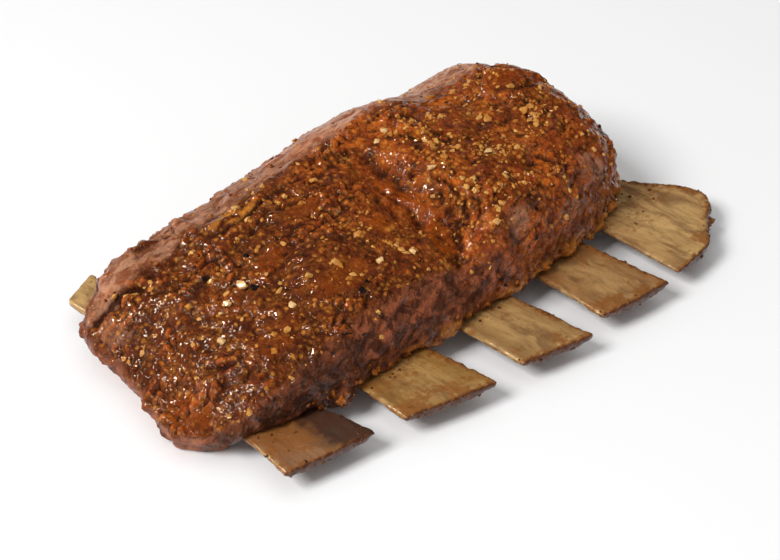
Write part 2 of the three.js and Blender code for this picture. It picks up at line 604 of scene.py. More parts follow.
class GrainGroup:
    """The fine, granular unevenness that every cooked surface of the rack shares.

    The group takes a place and three sizes in repeats per metre, and gives a height for a
    Bump node, a mask of specks and a mask of pits, where the crust is painted darker as painted
    shade.
    """

    NAME = "cooked grain"
    DRIFT = 1.6 * MM

    @classmethod
    def tree(cls) -> bpy.types.NodeTree:
        """The group's tree, built once.

        Returns:
            The tree, with its inputs and outputs.
        """
        found = bpy.data.node_groups.get(cls.NAME)
        if found:
            return found
        tree = bpy.data.node_groups.new(cls.NAME, "ShaderNodeTree")
        face = tree.interface
        face.new_socket("Place", in_out="INPUT", socket_type="NodeSocketVector")
        for name, value in (("Coarse", 250.0), ("Fine", 900.0), ("Speck", 600.0)):
            socket = face.new_socket(name, in_out="INPUT", socket_type="NodeSocketFloat")
            socket.default_value = value
        for name in ("Height", "Specks", "Pits"):
            face.new_socket(name, in_out="OUTPUT", socket_type="NodeSocketFloat")
        nodes = Nodes(tree)
        given = nodes.add("NodeGroupInput").outputs
        result = nodes.add("NodeGroupOutput").inputs

        drift = nodes.add("ShaderNodeTexNoise")
        nodes.plug(drift.inputs["Vector"], given["Place"])
        nodes.plug(drift.inputs["Scale"], given["Coarse"])
        bent = nodes.add("ShaderNodeVectorMath", operation="MULTIPLY_ADD")
        nodes.plug(bent.inputs[0], drift.outputs["Color"])
        bent.inputs[1].default_value = (cls.DRIFT, cls.DRIFT, cls.DRIFT)
        nodes.plug(bent.inputs[2], given["Place"])

        coarse = nodes.add("ShaderNodeTexNoise")
        fine = nodes.add("ShaderNodeTexNoise")
        speck = nodes.add("ShaderNodeTexVoronoi")
        for node, size in ((coarse, "Coarse"), (fine, "Fine"), (speck, "Speck")):
            nodes.plug(node.inputs["Vector"], bent.outputs[0])
            nodes.plug(node.inputs["Scale"], given[size])
        coarse.inputs["Detail"].default_value = 4
        coarse.inputs["Distortion"].default_value = 0.6
        fine.inputs["Detail"].default_value = 2
        bumps = nodes.step(speck.outputs["Distance"], 0.65, 0.1)
        height = nodes.sum("MULTIPLY_ADD", fine.outputs["Fac"], 0.35)
        nodes.plug(height.node.inputs[2], coarse.outputs["Fac"])
        grainy = nodes.sum("MULTIPLY", bumps, 0.45)
        nodes.plug(result["Height"], nodes.sum("ADD", height, grainy))
        nodes.plug(result["Specks"], bumps)
        # The pits are the low spots of the coarse swells, where the crust gets painted shade.
        nodes.plug(result["Pits"], nodes.step(coarse.outputs["Fac"], 0.46, 0.3))
        return tree

    @classmethod
    def placed(
        cls, nodes: Nodes, place: bpy.types.NodeSocket, coarse: float, fine: float, speck: float
    ) -> bpy.types.NodeOutputs:
        """Puts the group into a finish.

        Args:
            nodes: The finish's nodes.
            place: The place that the pattern follows.
            coarse: Distance between the larger swells, in millimetres.
            fine: Distance between the finer ones.
            speck: Distance between specks.

        Returns:
            The group node's outputs.
        """
        node = nodes.add("ShaderNodeGroup")
        node.node_tree = cls.tree()
        nodes.plug(node.inputs["Place"], place)
        for name, size in (("Coarse", coarse), ("Fine", fine), ("Speck", speck)):
            node.inputs[name].default_value = 1 / (size * MM)
        return node.outputs


def blank_finish(name: str) -> tuple[bpy.types.Material, Nodes, bpy.types.Node]:
    """A new material with only its Principled shader.

    Args:
        name: The material's name.

    Returns:
        The material, its nodes and the shader.
    """
    material = bpy.data.materials.new(name)
    material.use_nodes = True
    tree = material.node_tree
    shader = next(node for node in tree.nodes if node.type == "BSDF_PRINCIPLED")
    return material, Nodes(tree), shader


@dataclass(frozen=True)
class Depth:
    """How much light goes into a cooked surface, and how far each colour of it goes."""

    share: float
    radius: Triple

    def put_on(self, shader: bpy.types.Node) -> None:
        """Sets the shader's subsurface sockets.

        Args:
            shader: The material's shader.
        """
        shader.inputs["Subsurface Weight"].default_value = self.share
        shader.inputs["Subsurface Radius"].default_value = self.radius
        shader.inputs["Subsurface Scale"].default_value = 1.0


@dataclass(frozen=True)
class MeatFinish:
    """Glazed crust, dry front, pale band, cut end, fat, amber and char, blended by masks.

    Hollows, cracks and pits are painted darker as painted shade, ridges lighter as painted
    highlight, and the pale band is partly painted sheen.
    """

    # A dark crust tone, and also the colour of the painted shade in hollows, cracks and pits and
    # between the crumbs.
    deep: Colour = tone(50, 23, 12)
    crust: Colour = tone(133, 58, 24)
    # A light crust tone for random patches, and also the painted highlight on ridges.
    bright_and_highlight: Colour = tone(189, 92, 30)
    gold: Colour = tone(210, 138, 52)
    bark: Colour = tone(104, 55, 42)
    brown: Colour = tone(76, 34, 18)
    dry: Colour = tone(142, 79, 52)
    dry_dark: Colour = tone(74, 39, 26)
    cut: Colour = tone(164, 104, 76)
    # The pale band's tone: partly the band's own matte colour, partly painted sheen on the
    # back-facing edge.
    band: Colour = tone(202, 150, 118)
    band_dark: Colour = tone(138, 80, 54)
    fat: Colour = tone(198, 126, 48)
    amber: Colour = tone(136, 60, 10)
    char: Colour = tone(40, 24, 16)
    specular: float = 0.03
    coat_roughness: float = 0.04
    sheen_roughness: float = 0.35
    relief: float = 0.95
    ripple: float = 1.2
    depth: Depth = Depth(0.05, (0.004, 0.0014, 0.0006))

    def made(self) -> bpy.types.Material:
        """Builds the material.

        Returns:
            The material.
        """
        material, nodes, shader = blank_finish("roast meat")
        place = nodes.place()
        grain = GrainGroup.placed(nodes, place, 3.0, 0.8, 1.7)
        nodes.plug(shader.inputs["Base Color"], self.colour(nodes, place, grain))
        self.gloss(nodes, place, shader)
        self.bumps(nodes, place, grain, shader)
        self.depth.put_on(shader)
        return material

    def gloss(self, nodes: Nodes, place: bpy.types.NodeSocket, shader: bpy.types.Node) -> None:
        """Makes the glaze wet in patches and the dry parts dull.

        Args:
            nodes: The finish's nodes.
            place: The place that the patterns follow.
            shader: The material's shader.
        """
        dry = nodes.attribute("dry")
        band = nodes.attribute("band")
        rough = nodes.add("ShaderNodeMix", data_type="FLOAT")
        nodes.plug(rough.inputs[0], dry)
        nodes.plug(rough.inputs[2], nodes.step(nodes.noise(place, 7.0, 3.0), 0.4, 0.6, 0.3, 0.45))
        nodes.plug(rough.inputs[3], 0.5)
        nodes.plug(shader.inputs["Roughness"], rough.outputs[0])

        wet = nodes.step(nodes.noise(place, 9.0, 3.0, 0.5), 0.42, 0.64, 1.0, 0.35)
        wet = nodes.sum("MAXIMUM", wet, nodes.attribute("amber"))
        wet = nodes.sum("MULTIPLY", wet, nodes.step(dry, 0.1, 0.8, 0.6, 1.0))
        wet = nodes.sum("MULTIPLY", wet, nodes.step(band, 0.0, 1.0, 0.3, 1.0))
        wet = nodes.sum("MULTIPLY", wet, nodes.step(nodes.attribute("cavity"), 0.2, 0.5, 1.0, 0.1))
        nodes.plug(shader.inputs["Coat Weight"], wet)
        shader.inputs["Coat Roughness"].default_value = self.coat_roughness
        shader.inputs["Specular IOR Level"].default_value = self.specular
        shader.inputs["Sheen Roughness"].default_value = self.sheen_roughness
        nodes.plug(shader.inputs["Sheen Weight"], nodes.step(band, 0.1, 1.0, 0.15))

    def bumps(
        self,
        nodes: Nodes,
        place: bpy.types.NodeSocket,
        grain: bpy.types.NodeOutputs,
        shader: bpy.types.Node,
    ) -> None:
        """Adds the wrinkles that are finer than the mesh, and the ripples of the wet glaze.

        Args:
            nodes: The finish's nodes.
            place: The place that the patterns follow.
            grain: The outputs of the grain group.
            shader: The material's shader.
        """
        calm = nodes.step(nodes.attribute("smooth"), 0.0, 1.0, 0.6, 1.0)
        wrinkles = nodes.wrinkles(place, 6.0, 4.0)
        turned = nodes.stretched(place, (1, 1, 1), (0.2, 0.5, 0.9))
        creased = nodes.wrinkles(turned, 2.6, 3.0)
        height = nodes.sum("ADD", wrinkles, nodes.sum("MULTIPLY", grain["Height"], 0.6))
        height = nodes.sum("ADD", height, nodes.sum("MULTIPLY", creased, 0.3))
        height = nodes.sum("MULTIPLY", height, calm)
        nodes.plug(shader.inputs["Normal"], nodes.bump(height, self.relief))
        swells = nodes.noise(place, 3.6, 0.8, 0.5)
        ripples = nodes.sum("ADD", nodes.sum("MULTIPLY", wrinkles, 0.3), swells)
        ripples = nodes.sum("MULTIPLY", ripples, calm)
        nodes.plug(shader.inputs["Coat Normal"], nodes.bump(ripples, self.ripple))

    def colour(
        self, nodes: Nodes, place: bpy.types.NodeSocket, grain: bpy.types.NodeOutputs
    ) -> bpy.types.NodeSocket:
        """The surface's colour, from the crust up to the char, with painted shade and highlight.

        Args:
            nodes: The finish's nodes.
            place: The place that the patterns follow.
            grain: The outputs of the grain group.

        Returns:
            The colour's socket.
        """
        colour = self.crusted(nodes, place, grain)
        colour = nodes.mix(nodes.attribute("amber"), colour, self.amber)
        colour = nodes.mix(nodes.attribute("fat"), colour, self.fat)
        dark_flecks = nodes.noise(place, 2.4, 4.0, 0.8)
        colour = nodes.mix(nodes.step(dark_flecks, 0.53, 0.68, 0.35), colour, self.deep)
        turned = nodes.stretched(place, (1, 1, 1), (0.4, 0.9, 0.1))
        pale_flecks = nodes.noise(turned, 1.9, 4.0, 0.8)
        colour = nodes.mix(nodes.step(pale_flecks, 0.57, 0.72, 0.25), colour, self.gold)

        dried = nodes.step(nodes.noise(place, 7.0, 5.0, 1.0), 0.4, 0.62)
        dry_tone = nodes.mix(dried, self.dry_dark, self.dry)
        colour = nodes.mix(nodes.attribute("dry"), colour, dry_tone)
        drawn_out = nodes.stretched(place, (0.5, 1, 1), (0.1, 0.2, 0.3))
        veined = nodes.step(nodes.noise(drawn_out, 4.0, 6.0, 0.6), 0.36, 0.62)
        # The pale band tone is partly painted sheen.
        band_tone = nodes.mix(veined, self.band_dark, self.band)
        band = nodes.sum("MULTIPLY", nodes.attribute("band"), 0.85)
        colour = nodes.mix(band, colour, band_tone)
        colour = nodes.mix(nodes.attribute("cut"), colour, self.cut)

        # Ridges are painted lighter, as painted highlight, and hollows and cracks darker, as
        # painted shade.
        cavity = nodes.attribute("cavity")
        colour = nodes.mix(nodes.step(cavity, 0.56, 0.95, 0.45), colour, self.bright_and_highlight)
        colour = nodes.mix(nodes.step(cavity, 0.49, 0.1, 0.92), colour, self.deep)
        return nodes.mix(nodes.attribute("char"), colour, self.char)

    def crusted(
        self, nodes: Nodes, place: bpy.types.NodeSocket, grain: bpy.types.NodeOutputs
    ) -> bpy.types.NodeSocket:
        """The crust's colour: clouds of brown, bark and golden crumbs, with painted shade between
        the crumbs and in the pits.

        Args:
            nodes: The finish's nodes.
            place: The place that the patterns follow.
            grain: The outputs of the grain group.

        Returns:
            The colour's socket.
        """
        cloud = nodes.noise(place, 14.0, 5.0, 0.8)
        patch = nodes.step(nodes.noise(place, 9.0, 3.0, 0.8), 0.42, 0.64)
        broad = nodes.step(nodes.noise(place, 38.0, 3.0, 0.4), 0.4, 0.56, 0.95, 0.3)
        colour = nodes.mix(nodes.step(cloud, 0.34, 0.55), self.deep, self.crust)
        colour = nodes.mix(nodes.sum("MULTIPLY", patch, broad), colour, self.bright_and_highlight)
        turned = nodes.stretched(place, (1, 1, 1), (0.5, 0.3, 0.2))
        barky = nodes.noise(turned, 17.0, 5.0, 0.9)
        colour = nodes.mix(nodes.step(barky, 0.52, 0.64, 0.6), colour, self.bark)
        colour = nodes.mix(nodes.attribute("browned"), colour, self.brown)

        crust = nodes.attribute("crust")
        distance, chance = nodes.cells(place, 2.8)
        near = nodes.step(distance, 0.5, 0.2)
        golden = nodes.sum("MULTIPLY", nodes.step(chance, 0.4, 0.9), near)
        golden = nodes.sum("MULTIPLY", nodes.sum("MULTIPLY", golden, crust), 0.55)
        colour = nodes.mix(golden, colour, self.gold)
        # Painted shade between the golden crumbs.
        shaded_gaps = nodes.sum("MULTIPLY", nodes.step(distance, 0.5, 0.85, 0.55), crust)
        colour = nodes.mix(shaded_gaps, colour, self.deep)

        speckled = nodes.step(nodes.noise(place, 9.0, 2.0), 0.42, 0.6)
        specks = nodes.sum("MULTIPLY", grain["Specks"], speckled)
        colour = nodes.mix(nodes.sum("MULTIPLY", specks, 0.25), colour, self.gold)
        # The pits are painted darker, as painted shade.
        return nodes.mix(nodes.sum("MULTIPLY", grain["Pits"], 0.6), colour, self.deep)


@dataclass(frozen=True)
class BoneFinish:
    """Cooked bone: glossy beige with brown grease, stained edges, a dark sawn end, a painted
    highlight along its middle and painted shade underneath.
    """

    name: str
    pale: Colour = tone(158, 119, 70)
    streak: Colour = tone(108, 70, 38)
    # The light rim and back end's own tone, also laid along the bone's upward middle as a painted
    # highlight.
    edge: Colour = tone(198, 160, 102)
    rust: Colour = tone(136, 82, 34)
    stain: Colour = tone(82, 42, 18)
    marrow: Colour = tone(88, 48, 32)
    char: Colour = tone(54, 36, 31)
    specular: float = 0.45
    coat: float = 0.3
    coat_roughness: float = 0.15
    relief: float = 0.7
    depth: Depth = Depth(0.05, (0.003, 0.002, 0.001))

    def made(self) -> bpy.types.Material:
        """Builds the material.

        Returns:
            The material.
        """
        material, nodes, shader = blank_finish(self.name)
        place = nodes.place()
        grain = GrainGroup.placed(nodes, place, 4.0, 1.1, 2.0)
        clouds = nodes.noise(nodes.stretched(place, (1.0, 0.4, 1.0)), 13.0, 4.0, 0.7)
        colour = self.stained(nodes, place, self.fibrous(nodes, place, clouds))
        sawn = nodes.mix(nodes.step(grain["Height"], 0.5, 0.9), self.marrow, self.stain)
        # Downward faces take this dark colour too, as painted shade under the bone.
        colour = nodes.mix(nodes.attribute("sawn"), colour, sawn)
        nodes.plug(shader.inputs["Base Color"], colour)
        nodes.plug(shader.inputs["Roughness"], nodes.step(clouds, 0.3, 0.7, 0.42, 0.26))
        shader.inputs["Specular IOR Level"].default_value = self.specular
        shader.inputs["Coat Weight"].default_value = self.coat
        shader.inputs["Coat Roughness"].default_value = self.coat_roughness
        self.depth.put_on(shader)
        rough = nodes.step(nodes.attribute("sawn"), 0.0, 1.0, 1.0, 0.2)
        height = nodes.sum("MULTIPLY", grain["Height"], rough)
        nodes.plug(shader.inputs["Normal"], nodes.bump(height, self.relief))
        return material

    def fibrous(
        self, nodes: Nodes, place: bpy.types.NodeSocket, clouds: bpy.types.NodeSocket
    ) -> bpy.types.NodeSocket:
        """The clean bone's colour, streaked along the bone.

        Args:
            nodes: The finish's nodes.
            place: The place that the streaks follow.
            clouds: Broad noise that darkens whole patches.

        Returns:
            The colour's socket.
        """
        fibres = nodes.noise(nodes.stretched(place, (1.0, 0.2, 1.0)), 3.8, 6.0, 0.9)
        fine = nodes.noise(nodes.stretched(place, (1.0, 0.14, 1.0)), 1.3, 4.0, 0.6)
        # The edge mask holds the light rim and back end, and the painted highlight along the
        # bone's middle.
        colour = nodes.mix(nodes.attribute("edge"), self.pale, self.edge)
        colour = nodes.mix(nodes.step(fibres, 0.42, 0.7, 0.4), colour, self.streak)
        colour = nodes.mix(nodes.step(fine, 0.48, 0.7, 0.32), colour, self.streak)
        return nodes.mix(nodes.step(clouds, 0.45, 0.66, 0.72), colour, self.streak)

    def stained(
        self, nodes: Nodes, place: bpy.types.NodeSocket, colour: bpy.types.NodeSocket
    ) -> bpy.types.NodeSocket:
        """Lays dark dots, brown grease and scorch over the bone's colour.

        Args:
            nodes: The finish's nodes.
            place: The place that the patterns follow.
            colour: The clean bone's colour.

        Returns:
            The colour's socket.
        """
        ragged = nodes.noise(place, 2.6, 5.0, 0.6)
        distance, chance = nodes.cells(place, 2.4)
        near = nodes.step(distance, 0.36, 0.12, 0.6)
        dots = nodes.sum("MULTIPLY", nodes.step(chance, 0.7, 0.95), near)
        dotted = nodes.step(nodes.noise(place, 11.0, 3.0, 0.5), 0.5, 0.64)
        colour = nodes.mix(nodes.sum("MULTIPLY", dots, dotted), colour, self.stain)
        uneven = nodes.sum("MULTIPLY", nodes.sum("SUBTRACT", ragged, 0.5), 1.3)
        worn = nodes.sum("ADD", nodes.attribute("stain"), uneven)
        colour = nodes.mix(nodes.step(worn, 0.28, 0.6, 0.8), colour, self.rust)
        colour = nodes.mix(nodes.step(worn, 0.62, 1.0, 0.85), colour, self.stain)
        return nodes.mix(nodes.attribute("char"), colour, self.char)


@dataclass(frozen=True)
class GrainFinish:
    """Loose grains of one kind, whose colour runs from one tone to another by grain."""

    name: str
    first: Colour
    second: Colour
    shade: Colour
    roughness: float = 0.35
    coat: float = 0.3
    coat_roughness: float = 0.08
    specular: float = 0.2
    relief: float = 0.15
    depth: Depth = Depth(0.08, (0.002, 0.0012, 0.0006))

    def made(self) -> bpy.types.Material:
        """Builds the material.

        Returns:
            The material.
        """
        material, nodes, shader = blank_finish(self.name)
        place = nodes.place()
        colour = nodes.mix(nodes.attribute("hue"), self.first, self.second)
        mottle = nodes.noise(place, 1.6, 3.0, 0.3)
        colour = nodes.mix(nodes.step(mottle, 0.5, 0.72, 0.7), colour, self.shade)
        nodes.plug(shader.inputs["Base Color"], colour)
        dull = nodes.step(mottle, 0.3, 0.7, self.roughness + 0.15, self.roughness)
        nodes.plug(shader.inputs["Roughness"], dull)
        shader.inputs["Coat Weight"].default_value = self.coat
        shader.inputs["Coat Roughness"].default_value = self.coat_roughness
        shader.inputs["Specular IOR Level"].default_value = self.specular
        self.depth.put_on(shader)
        bumps = nodes.bump(nodes.noise(place, 0.8, 3.0), self.relief)
        nodes.plug(shader.inputs["Normal"], bumps)
        return material


# ---------------------------------------------------------------- the slab of meat


@dataclass(frozen=True)
class Crease:
    """A crack, fold or seam of the slab, along a line in plan.

    It sinks by `depth` within about `half` of the line, and its left side rises by `step`
    as its right side sinks.
    """

    path: Path
    depth: float
    half: float
    step: float = 0.0
    # How much painted shade the crack's line gets.
    crack_shade: float = 0.6


@dataclass(frozen=True)
class Spot:
    """A round place on the slab, by plan and half-widths."""

    x: float
    y: float
    half_x: float
    half_y: float
    strength: float = 1.0


@dataclass(frozen=True)
class Dab:
    """A push on the surface round a place, which fades out over `reach` on each axis."""

    place: Triple
    reach: Triple
    push: Triple


@dataclass
class Ground:
    """What each point of the slab belongs to, and the slow noises behind that.

    Apart from the first two noises, the slope's own place and the foot's noise, every
    value is a share from 0 to 1.
    """

    wobble: np.ndarray
    warp: np.ndarray
    upper: np.ndarray
    under: np.ndarray
    front: np.ndarray
    sheer: np.ndarray
    low_left: np.ndarray
    dry: np.ndarray
    slope: np.ndarray
    slope_gap: np.ndarray
    slope_share: np.ndarray
    pools: np.ndarray
    band: np.ndarray
    smooth: np.ndarray
    rugged: np.ndarray
    foot: np.ndarray
    foot_noise: np.ndarray


@dataclass
class Meat:
    """The slab of meat with its crust. Heights, depths and sizes are millimetres."""

    voxel: float = 1.92
    evening: int = 6
    floor_gap: float = 0.05
    swell_size: float = 21.0
    swell_height: float = 1.7
    clod_size: float = 8.0
    clod_height: float = 2.2
    clod_extra: float = 0.8
    lump_size: float = 3.7
    lump_height: float = 1.3
    fold_size: float = 17.0
    fold_depth: float = 1.9
    sheer_height: float = 0.9
    frill_height: float = 2.2
    slope_height: float = 1.1
    foot_height: float = 2.4
    fibre_height: float = 0.6
    ledge_depth: float = 1.1
    dabs: tuple[Dab, ...] = (
        # The back left corner is cut away over bone 1, and the lobe beside it is round.
        Dab((-130, 84, 22), (12, 12, 22), (7, -8, -1)),
        Dab((-116, 64, 34), (13, 10, 12), (-1, 1, 3.5)),
        Dab((-97, 66, 38), (10, 5, 6), (0, 2.5, 3)),
        # The foot of the front left corner sticks out.
        Dab((-146, -14, 1), (10, 16, 7), (-2, 0, 0)),
        Dab((-132, -34, 4), (14, 9, 10), (1, 1.5, 0)),
        # Nubs of meat that hang between the bones.
        Dab((-85, -50, 9), (7, 6, 6), (0, -3, -2)),
        Dab((-29, -52, 12), (8, 6, 7), (0, -2, -2)),
        # The left muscle falls away towards the seam, and the right one rises over it.
        Dab((-6, -8, 50), (9, 30, 16), (0, 0, -3.5)),
        Dab((26, -20, 54), (12, 26, 16), (-2.5, 0, 2.5)),
        Dab((4, 20, 58), (9, 9, 14), (0, 0, -1.2)),
        # The shoulder of the left end.
        Dab((-136, -22, 22), (10, 12, 12), (-2, -1, 2)),
    )
    creases: tuple[Crease, ...] = (
        # The seam between the two muscles, and the broad dip round it.
        Crease(
            ((8, 34), (6, 21), (9, 3), (11, -12), (7, -28), (-2, -40), (-8, -47)),
            depth=1.8,
            half=3.0,
            step=0.6,
            crack_shade=0.45,
        ),
        Crease(
            ((10, 44), (6, 21), (8, 3), (10, -12), (5, -28), (-3, -40)),
            depth=2.6,
            half=9.0,
            crack_shade=0.15,
        ),
        Crease(((16, 0), (17, -12), (14, -26), (6, -38)), 1.6, 1.6, 0.5, 0.4),
        Crease(((-3, 16), (0, 2), (-1, -14), (-7, -26)), 1.3, 1.8, 0.3, 0.3),
        Crease(((-138, 57), (-129, 56), (-118, 52), (-110, 45)), 3.4, 2.2, 1.2),
        Crease(((31, -42), (38, -39), (44, -41), (49, -38)), 1.0, 0.9, 0.3, 0.3),
        Crease(((66, -24), (68, -29), (69, -36)), 1.0, 0.9, 0.3, 0.3),
        Crease(((43, -45), (47, -49)), 0.9, 0.8, 0.2, 0.3),
        Crease(((85, -30), (92, -35), (94, -42)), 0.8, 1.2, 0.3, 0.2),
        Crease(((-78, 45), (-62, 40), (-40, 42), (-22, 37)), 1.2, 1.6, 0.5),
        Crease(((-66, 30), (-50, 33), (-34, 29)), 1.0, 1.4, 0.4),
        Crease(((-110, 30), (-96, 33), (-80, 31)), 1.2, 1.5, 0.4),
    )
    clusters: tuple[Spot, ...] = (
        Spot(29, 3, 13, 10),
        Spot(52, -13, 15, 11),
        Spot(41, -33, 12, 7, 0.8),
        Spot(19, -23, 8, 9, 0.8),
        Spot(84, -12, 14, 9, 0.8),
        Spot(86, 30, 13, 8, 0.7),
        Spot(42, 26, 16, 8, 0.7),
        Spot(-105, 5, 10, 12, 0.7),
        Spot(-116, 44, 9, 8, 0.7),
        Spot(-84, 4, 13, 13, 0.6),
        Spot(-124, -8, 9, 12, 0.6),
        Spot(-31, -11, 11, 9, 0.5),
        Spot(-63, -20, 14, 11, 0.5),
        Spot(-53, 15, 11, 9, 0.5),
        Spot(-57, 42, 8, 12),
    )
    lobes: tuple[Spot, ...] = (
        Spot(-117, 60, 17, 9, 0.8),
        Spot(-134, 44, 5, 10, 0.25),
        Spot(-96, 58, 16, 6, 0.6),
        Spot(-56, 60, 22, 5, 0.7),
        Spot(-14, 58, 14, 5, 0.6),
        Spot(89, -42, 9, 6, 0.5),
        Spot(31, -46, 8, 6, 0.5),
    )
    slope: Path = ((-2, 20), (3, 3), (3, -14), (-2, -29), (-8, -42))
    ambers: tuple[Spot, ...] = (
        Spot(-20, -10, 7, 7, 0.95),
        Spot(0, 6, 7, 13, 0.55),
        Spot(-40, 22, 12, 7, 0.5),
        Spot(-72, 10, 12, 7, 0.55),
        Spot(-60, -22, 14, 8, 0.5),
        Spot(-100, 8, 9, 12, 0.35),
        Spot(-100, -24, 12, 8, 0.4),
        Spot(-141, -16, 9, 11, 0.55),
        Spot(95, 24, 16, 8, 0.4),
    )
    fatty: tuple[Spot, ...] = (
        Spot(-20, -12, 4.5, 3.5, 0.9),
        Spot(-60, 45, 14, 8, 0.75),
        Spot(-12, -44, 3, 5, 0.5),
    )
    chars: tuple[Spot, ...] = (
        Spot(10, 27, 5, 4, 0.35),
        Spot(-134, 22, 6, 9, 0.55),
        Spot(-122, 2, 6, 5, 0.5),
        Spot(-58, -3, 7, 5, 0.6),
        Spot(-96, 25, 5, 3, 0.6),
        Spot(80, -10, 10, 8, 0.35),
        Spot(94, -30, 8, 6, 0.5),
        Spot(-75, 30, 8, 4, 0.4),
    )

    def built(self, node: bpy.types.Object) -> tuple[bpy.types.Object, Skin]:
        """Makes the slab's mesh with its relief and its masks.

        Args:
            node: The frame's slab.

        Returns:
            The piece, and its points after the relief.
        """
        piece = closed_copy(node, "roast_meat", self.voxel)
        skin = Skin(piece.data)
        skin.points = skin.blurred(skin.points, self.evening)
        facing = skin.normals()
        shown = (facing[:, 2] > -0.25) & (skin.points[:, 2] > 4.0)
        refine(piece, shown)
        skin = Skin(piece.data)
        skin.points = skin.blurred(skin.points, 2)
        for dab in self.dabs:
            away = (skin.points - np.array(dab.place)) / np.array(dab.reach)
            skin.points += bell(np.linalg.norm(away, axis=1))[:, None] * np.array(dab.push)
        self.relief(skin)
        piece.data.polygons.foreach_set("use_smooth", np.ones(len(piece.data.polygons), bool))
        piece.data.update()
        return piece, skin

    def relief(self, skin: Skin) -> None:
        """Raises and sinks the surface, and marks what each place is made of and where it is
        painted with shade or highlight.

        Args:
            skin: The slab's points, which are moved.
        """
        places = skin.points.copy()
        facing = skin.blurred(skin.normals(), 4)
        facing /= np.linalg.norm(facing, axis=1)[:, None]
        ground = self.ground(places, facing)
        rise, dark = self.risen(places, facing, ground)
        skin.points = places + facing * rise[:, None]
        skin.points[:, 2] = np.maximum(skin.points[:, 2], self.floor_gap)
        # Low in hollows and cracks, high on ridges: the finish paints hollows darker as painted
        # shade and ridges lighter as painted highlight.
        stands_out = (rise - skin.blurred(rise, 8)) * (1 - 0.5 * ground.dry)
        cavity = 0.5 + 0.5 * stands_out - 0.3 * dark
        marks = self.finish_marks(places, facing, ground, cavity)
        marks |= self.scatter_marks(places, facing, ground)
        for name, values in marks.items():
            skin.mark(name, values)
        skin.store()

    def ground(self, places: np.ndarray, facing: np.ndarray) -> Ground:
        """Works out what each point of the slab belongs to.

        Args:
            places: The surface's points.
            facing: The direction in which each one faces.

        Returns:
            The shares, one array of them for each kind of surface.
        """
        x, y, z = places.T
        plan = places[:, :2]
        wobble = Noise.rough(places, 14.0, 3)
        warp = np.stack([Noise.waves(places, 13.0, seed) for seed in (11, 12, 13)], axis=1)

        upper = ease(facing[:, 2], 0.05, 0.5)
        under = ease(-facing[:, 2], 0.3, 0.7)
        front = ease(-facing[:, 1] + 0.15 * wobble, 0.45, 0.8)
        back = ease(facing[:, 1] + 0.15 * wobble, 0.4, 0.7) * ease(facing[:, 2], 0.6, 0.25)
        low_left = ease(x, -112, -128) * (1 - upper) * ease(z + 3 * wobble, 24, 15)
        dry_front = front * ease(x + 10 * wobble, 16, -8) + 0.3 * front
        dry = np.clip(dry_front + low_left + 0.8 * back + under, 0, 1)

        slope_gap, slope_share = along_path(plan + 2.0 * warp[:, :2], self.slope)
        slope = ease(np.abs(slope_gap), 7.0, 3.0)
        slope = slope * ease(slope_share, 0.0, 0.15) * ease(slope_share, 1.0, 0.85) * upper
        pools = self.covered(self.ambers, plan, wobble) * upper

        # The back-facing top edge and the lobes form the pale band, which is partly painted sheen.
        back_band = ease(y + 8 * wobble, 41, 54) * (0.6 + 0.4 * ease(x, -10, 16))
        back_band = back_band * ease(facing[:, 1], 0.1, 0.35)
        back_band *= ease(facing[:, 2] + 0.15 * wobble, 0.48, 0.74)
        lobes = self.covered(self.lobes, plan, wobble) * ease(facing[:, 2], 0.25, 0.55)
        band = np.maximum(back_band, lobes)

        smooth = np.clip(0.4 * slope + 0.7 * pools + band, 0, 1)
        sides = (1 - upper) * (1 - under) * (1 - 0.7 * dry)
        return Ground(
            wobble=wobble,
            warp=warp,
            upper=upper,
            under=under,
            front=front,
            sheer=np.maximum(front, ease(-facing[:, 0], 0.4, 0.75)),
            low_left=low_left,
            dry=dry,
            slope=slope,
            slope_gap=slope_gap,
            slope_share=slope_share,
            pools=pools,
            band=band,
            smooth=smooth,
            rugged=(upper + sides) * (1 - 0.6 * dry) * (1 - 0.7 * smooth),
            foot=ease(z + 3 * wobble, 23, 15) * ease(facing[:, 2], 0.6, 0.1) * (1 - under),
            foot_noise=Noise.rough(places, 8.0, 77),
        )

    def risen(
        self, places: np.ndarray, facing: np.ndarray, ground: Ground
    ) -> tuple[np.ndarray, np.ndarray]:
        """The slab's relief.

        Args:
            places: The surface's points.
            facing: The direction in which each one faces.
            ground: What each point belongs to.

        Returns:
            How far each point rises, and how much painted shade a crack lays on it.
        """
        x, _, z = places.T
        warp, sheer = ground.warp, ground.sheer
        rise = self.clods(places, warp, ground.rugged)
        swells = Noise.rough(places + 4 * warp, self.swell_size, 5, 3)
        rise += (self.swell_height * (1 - 0.6 * ground.under) * (1 - 0.5 * ground.band)) * swells
        rise += self.grain_of_the_meat(places, ground)
        rise += self.sheer_height * sheer * Noise.rough(places + 2 * warp, 7.0, 83, 3)
        frill = ease(facing[:, 1], 0.1, 0.5) * ease(x + 10 * ground.wobble, -50, -80)
        frill = frill * (1 - ground.under)
        rise += self.frill_height * frill * Noise.rough(places, 7.0, 131, 3)
        on_slope = np.stack([ground.slope_gap, 24 * ground.slope_share, z * 0.3], axis=1)
        rise += self.slope_height * ground.slope * Noise.rough(on_slope, 4.4, 23)
        cut, dark = self.cracks(places[:, :2] + 1.6 * warp[:, :2], ground.upper)
        rise += cut
        tucked = 0.8 * ease(x, -110, -130)
        rise += ground.foot * (self.foot_height * ground.foot_noise + 0.8 - tucked)
        return rise, dark

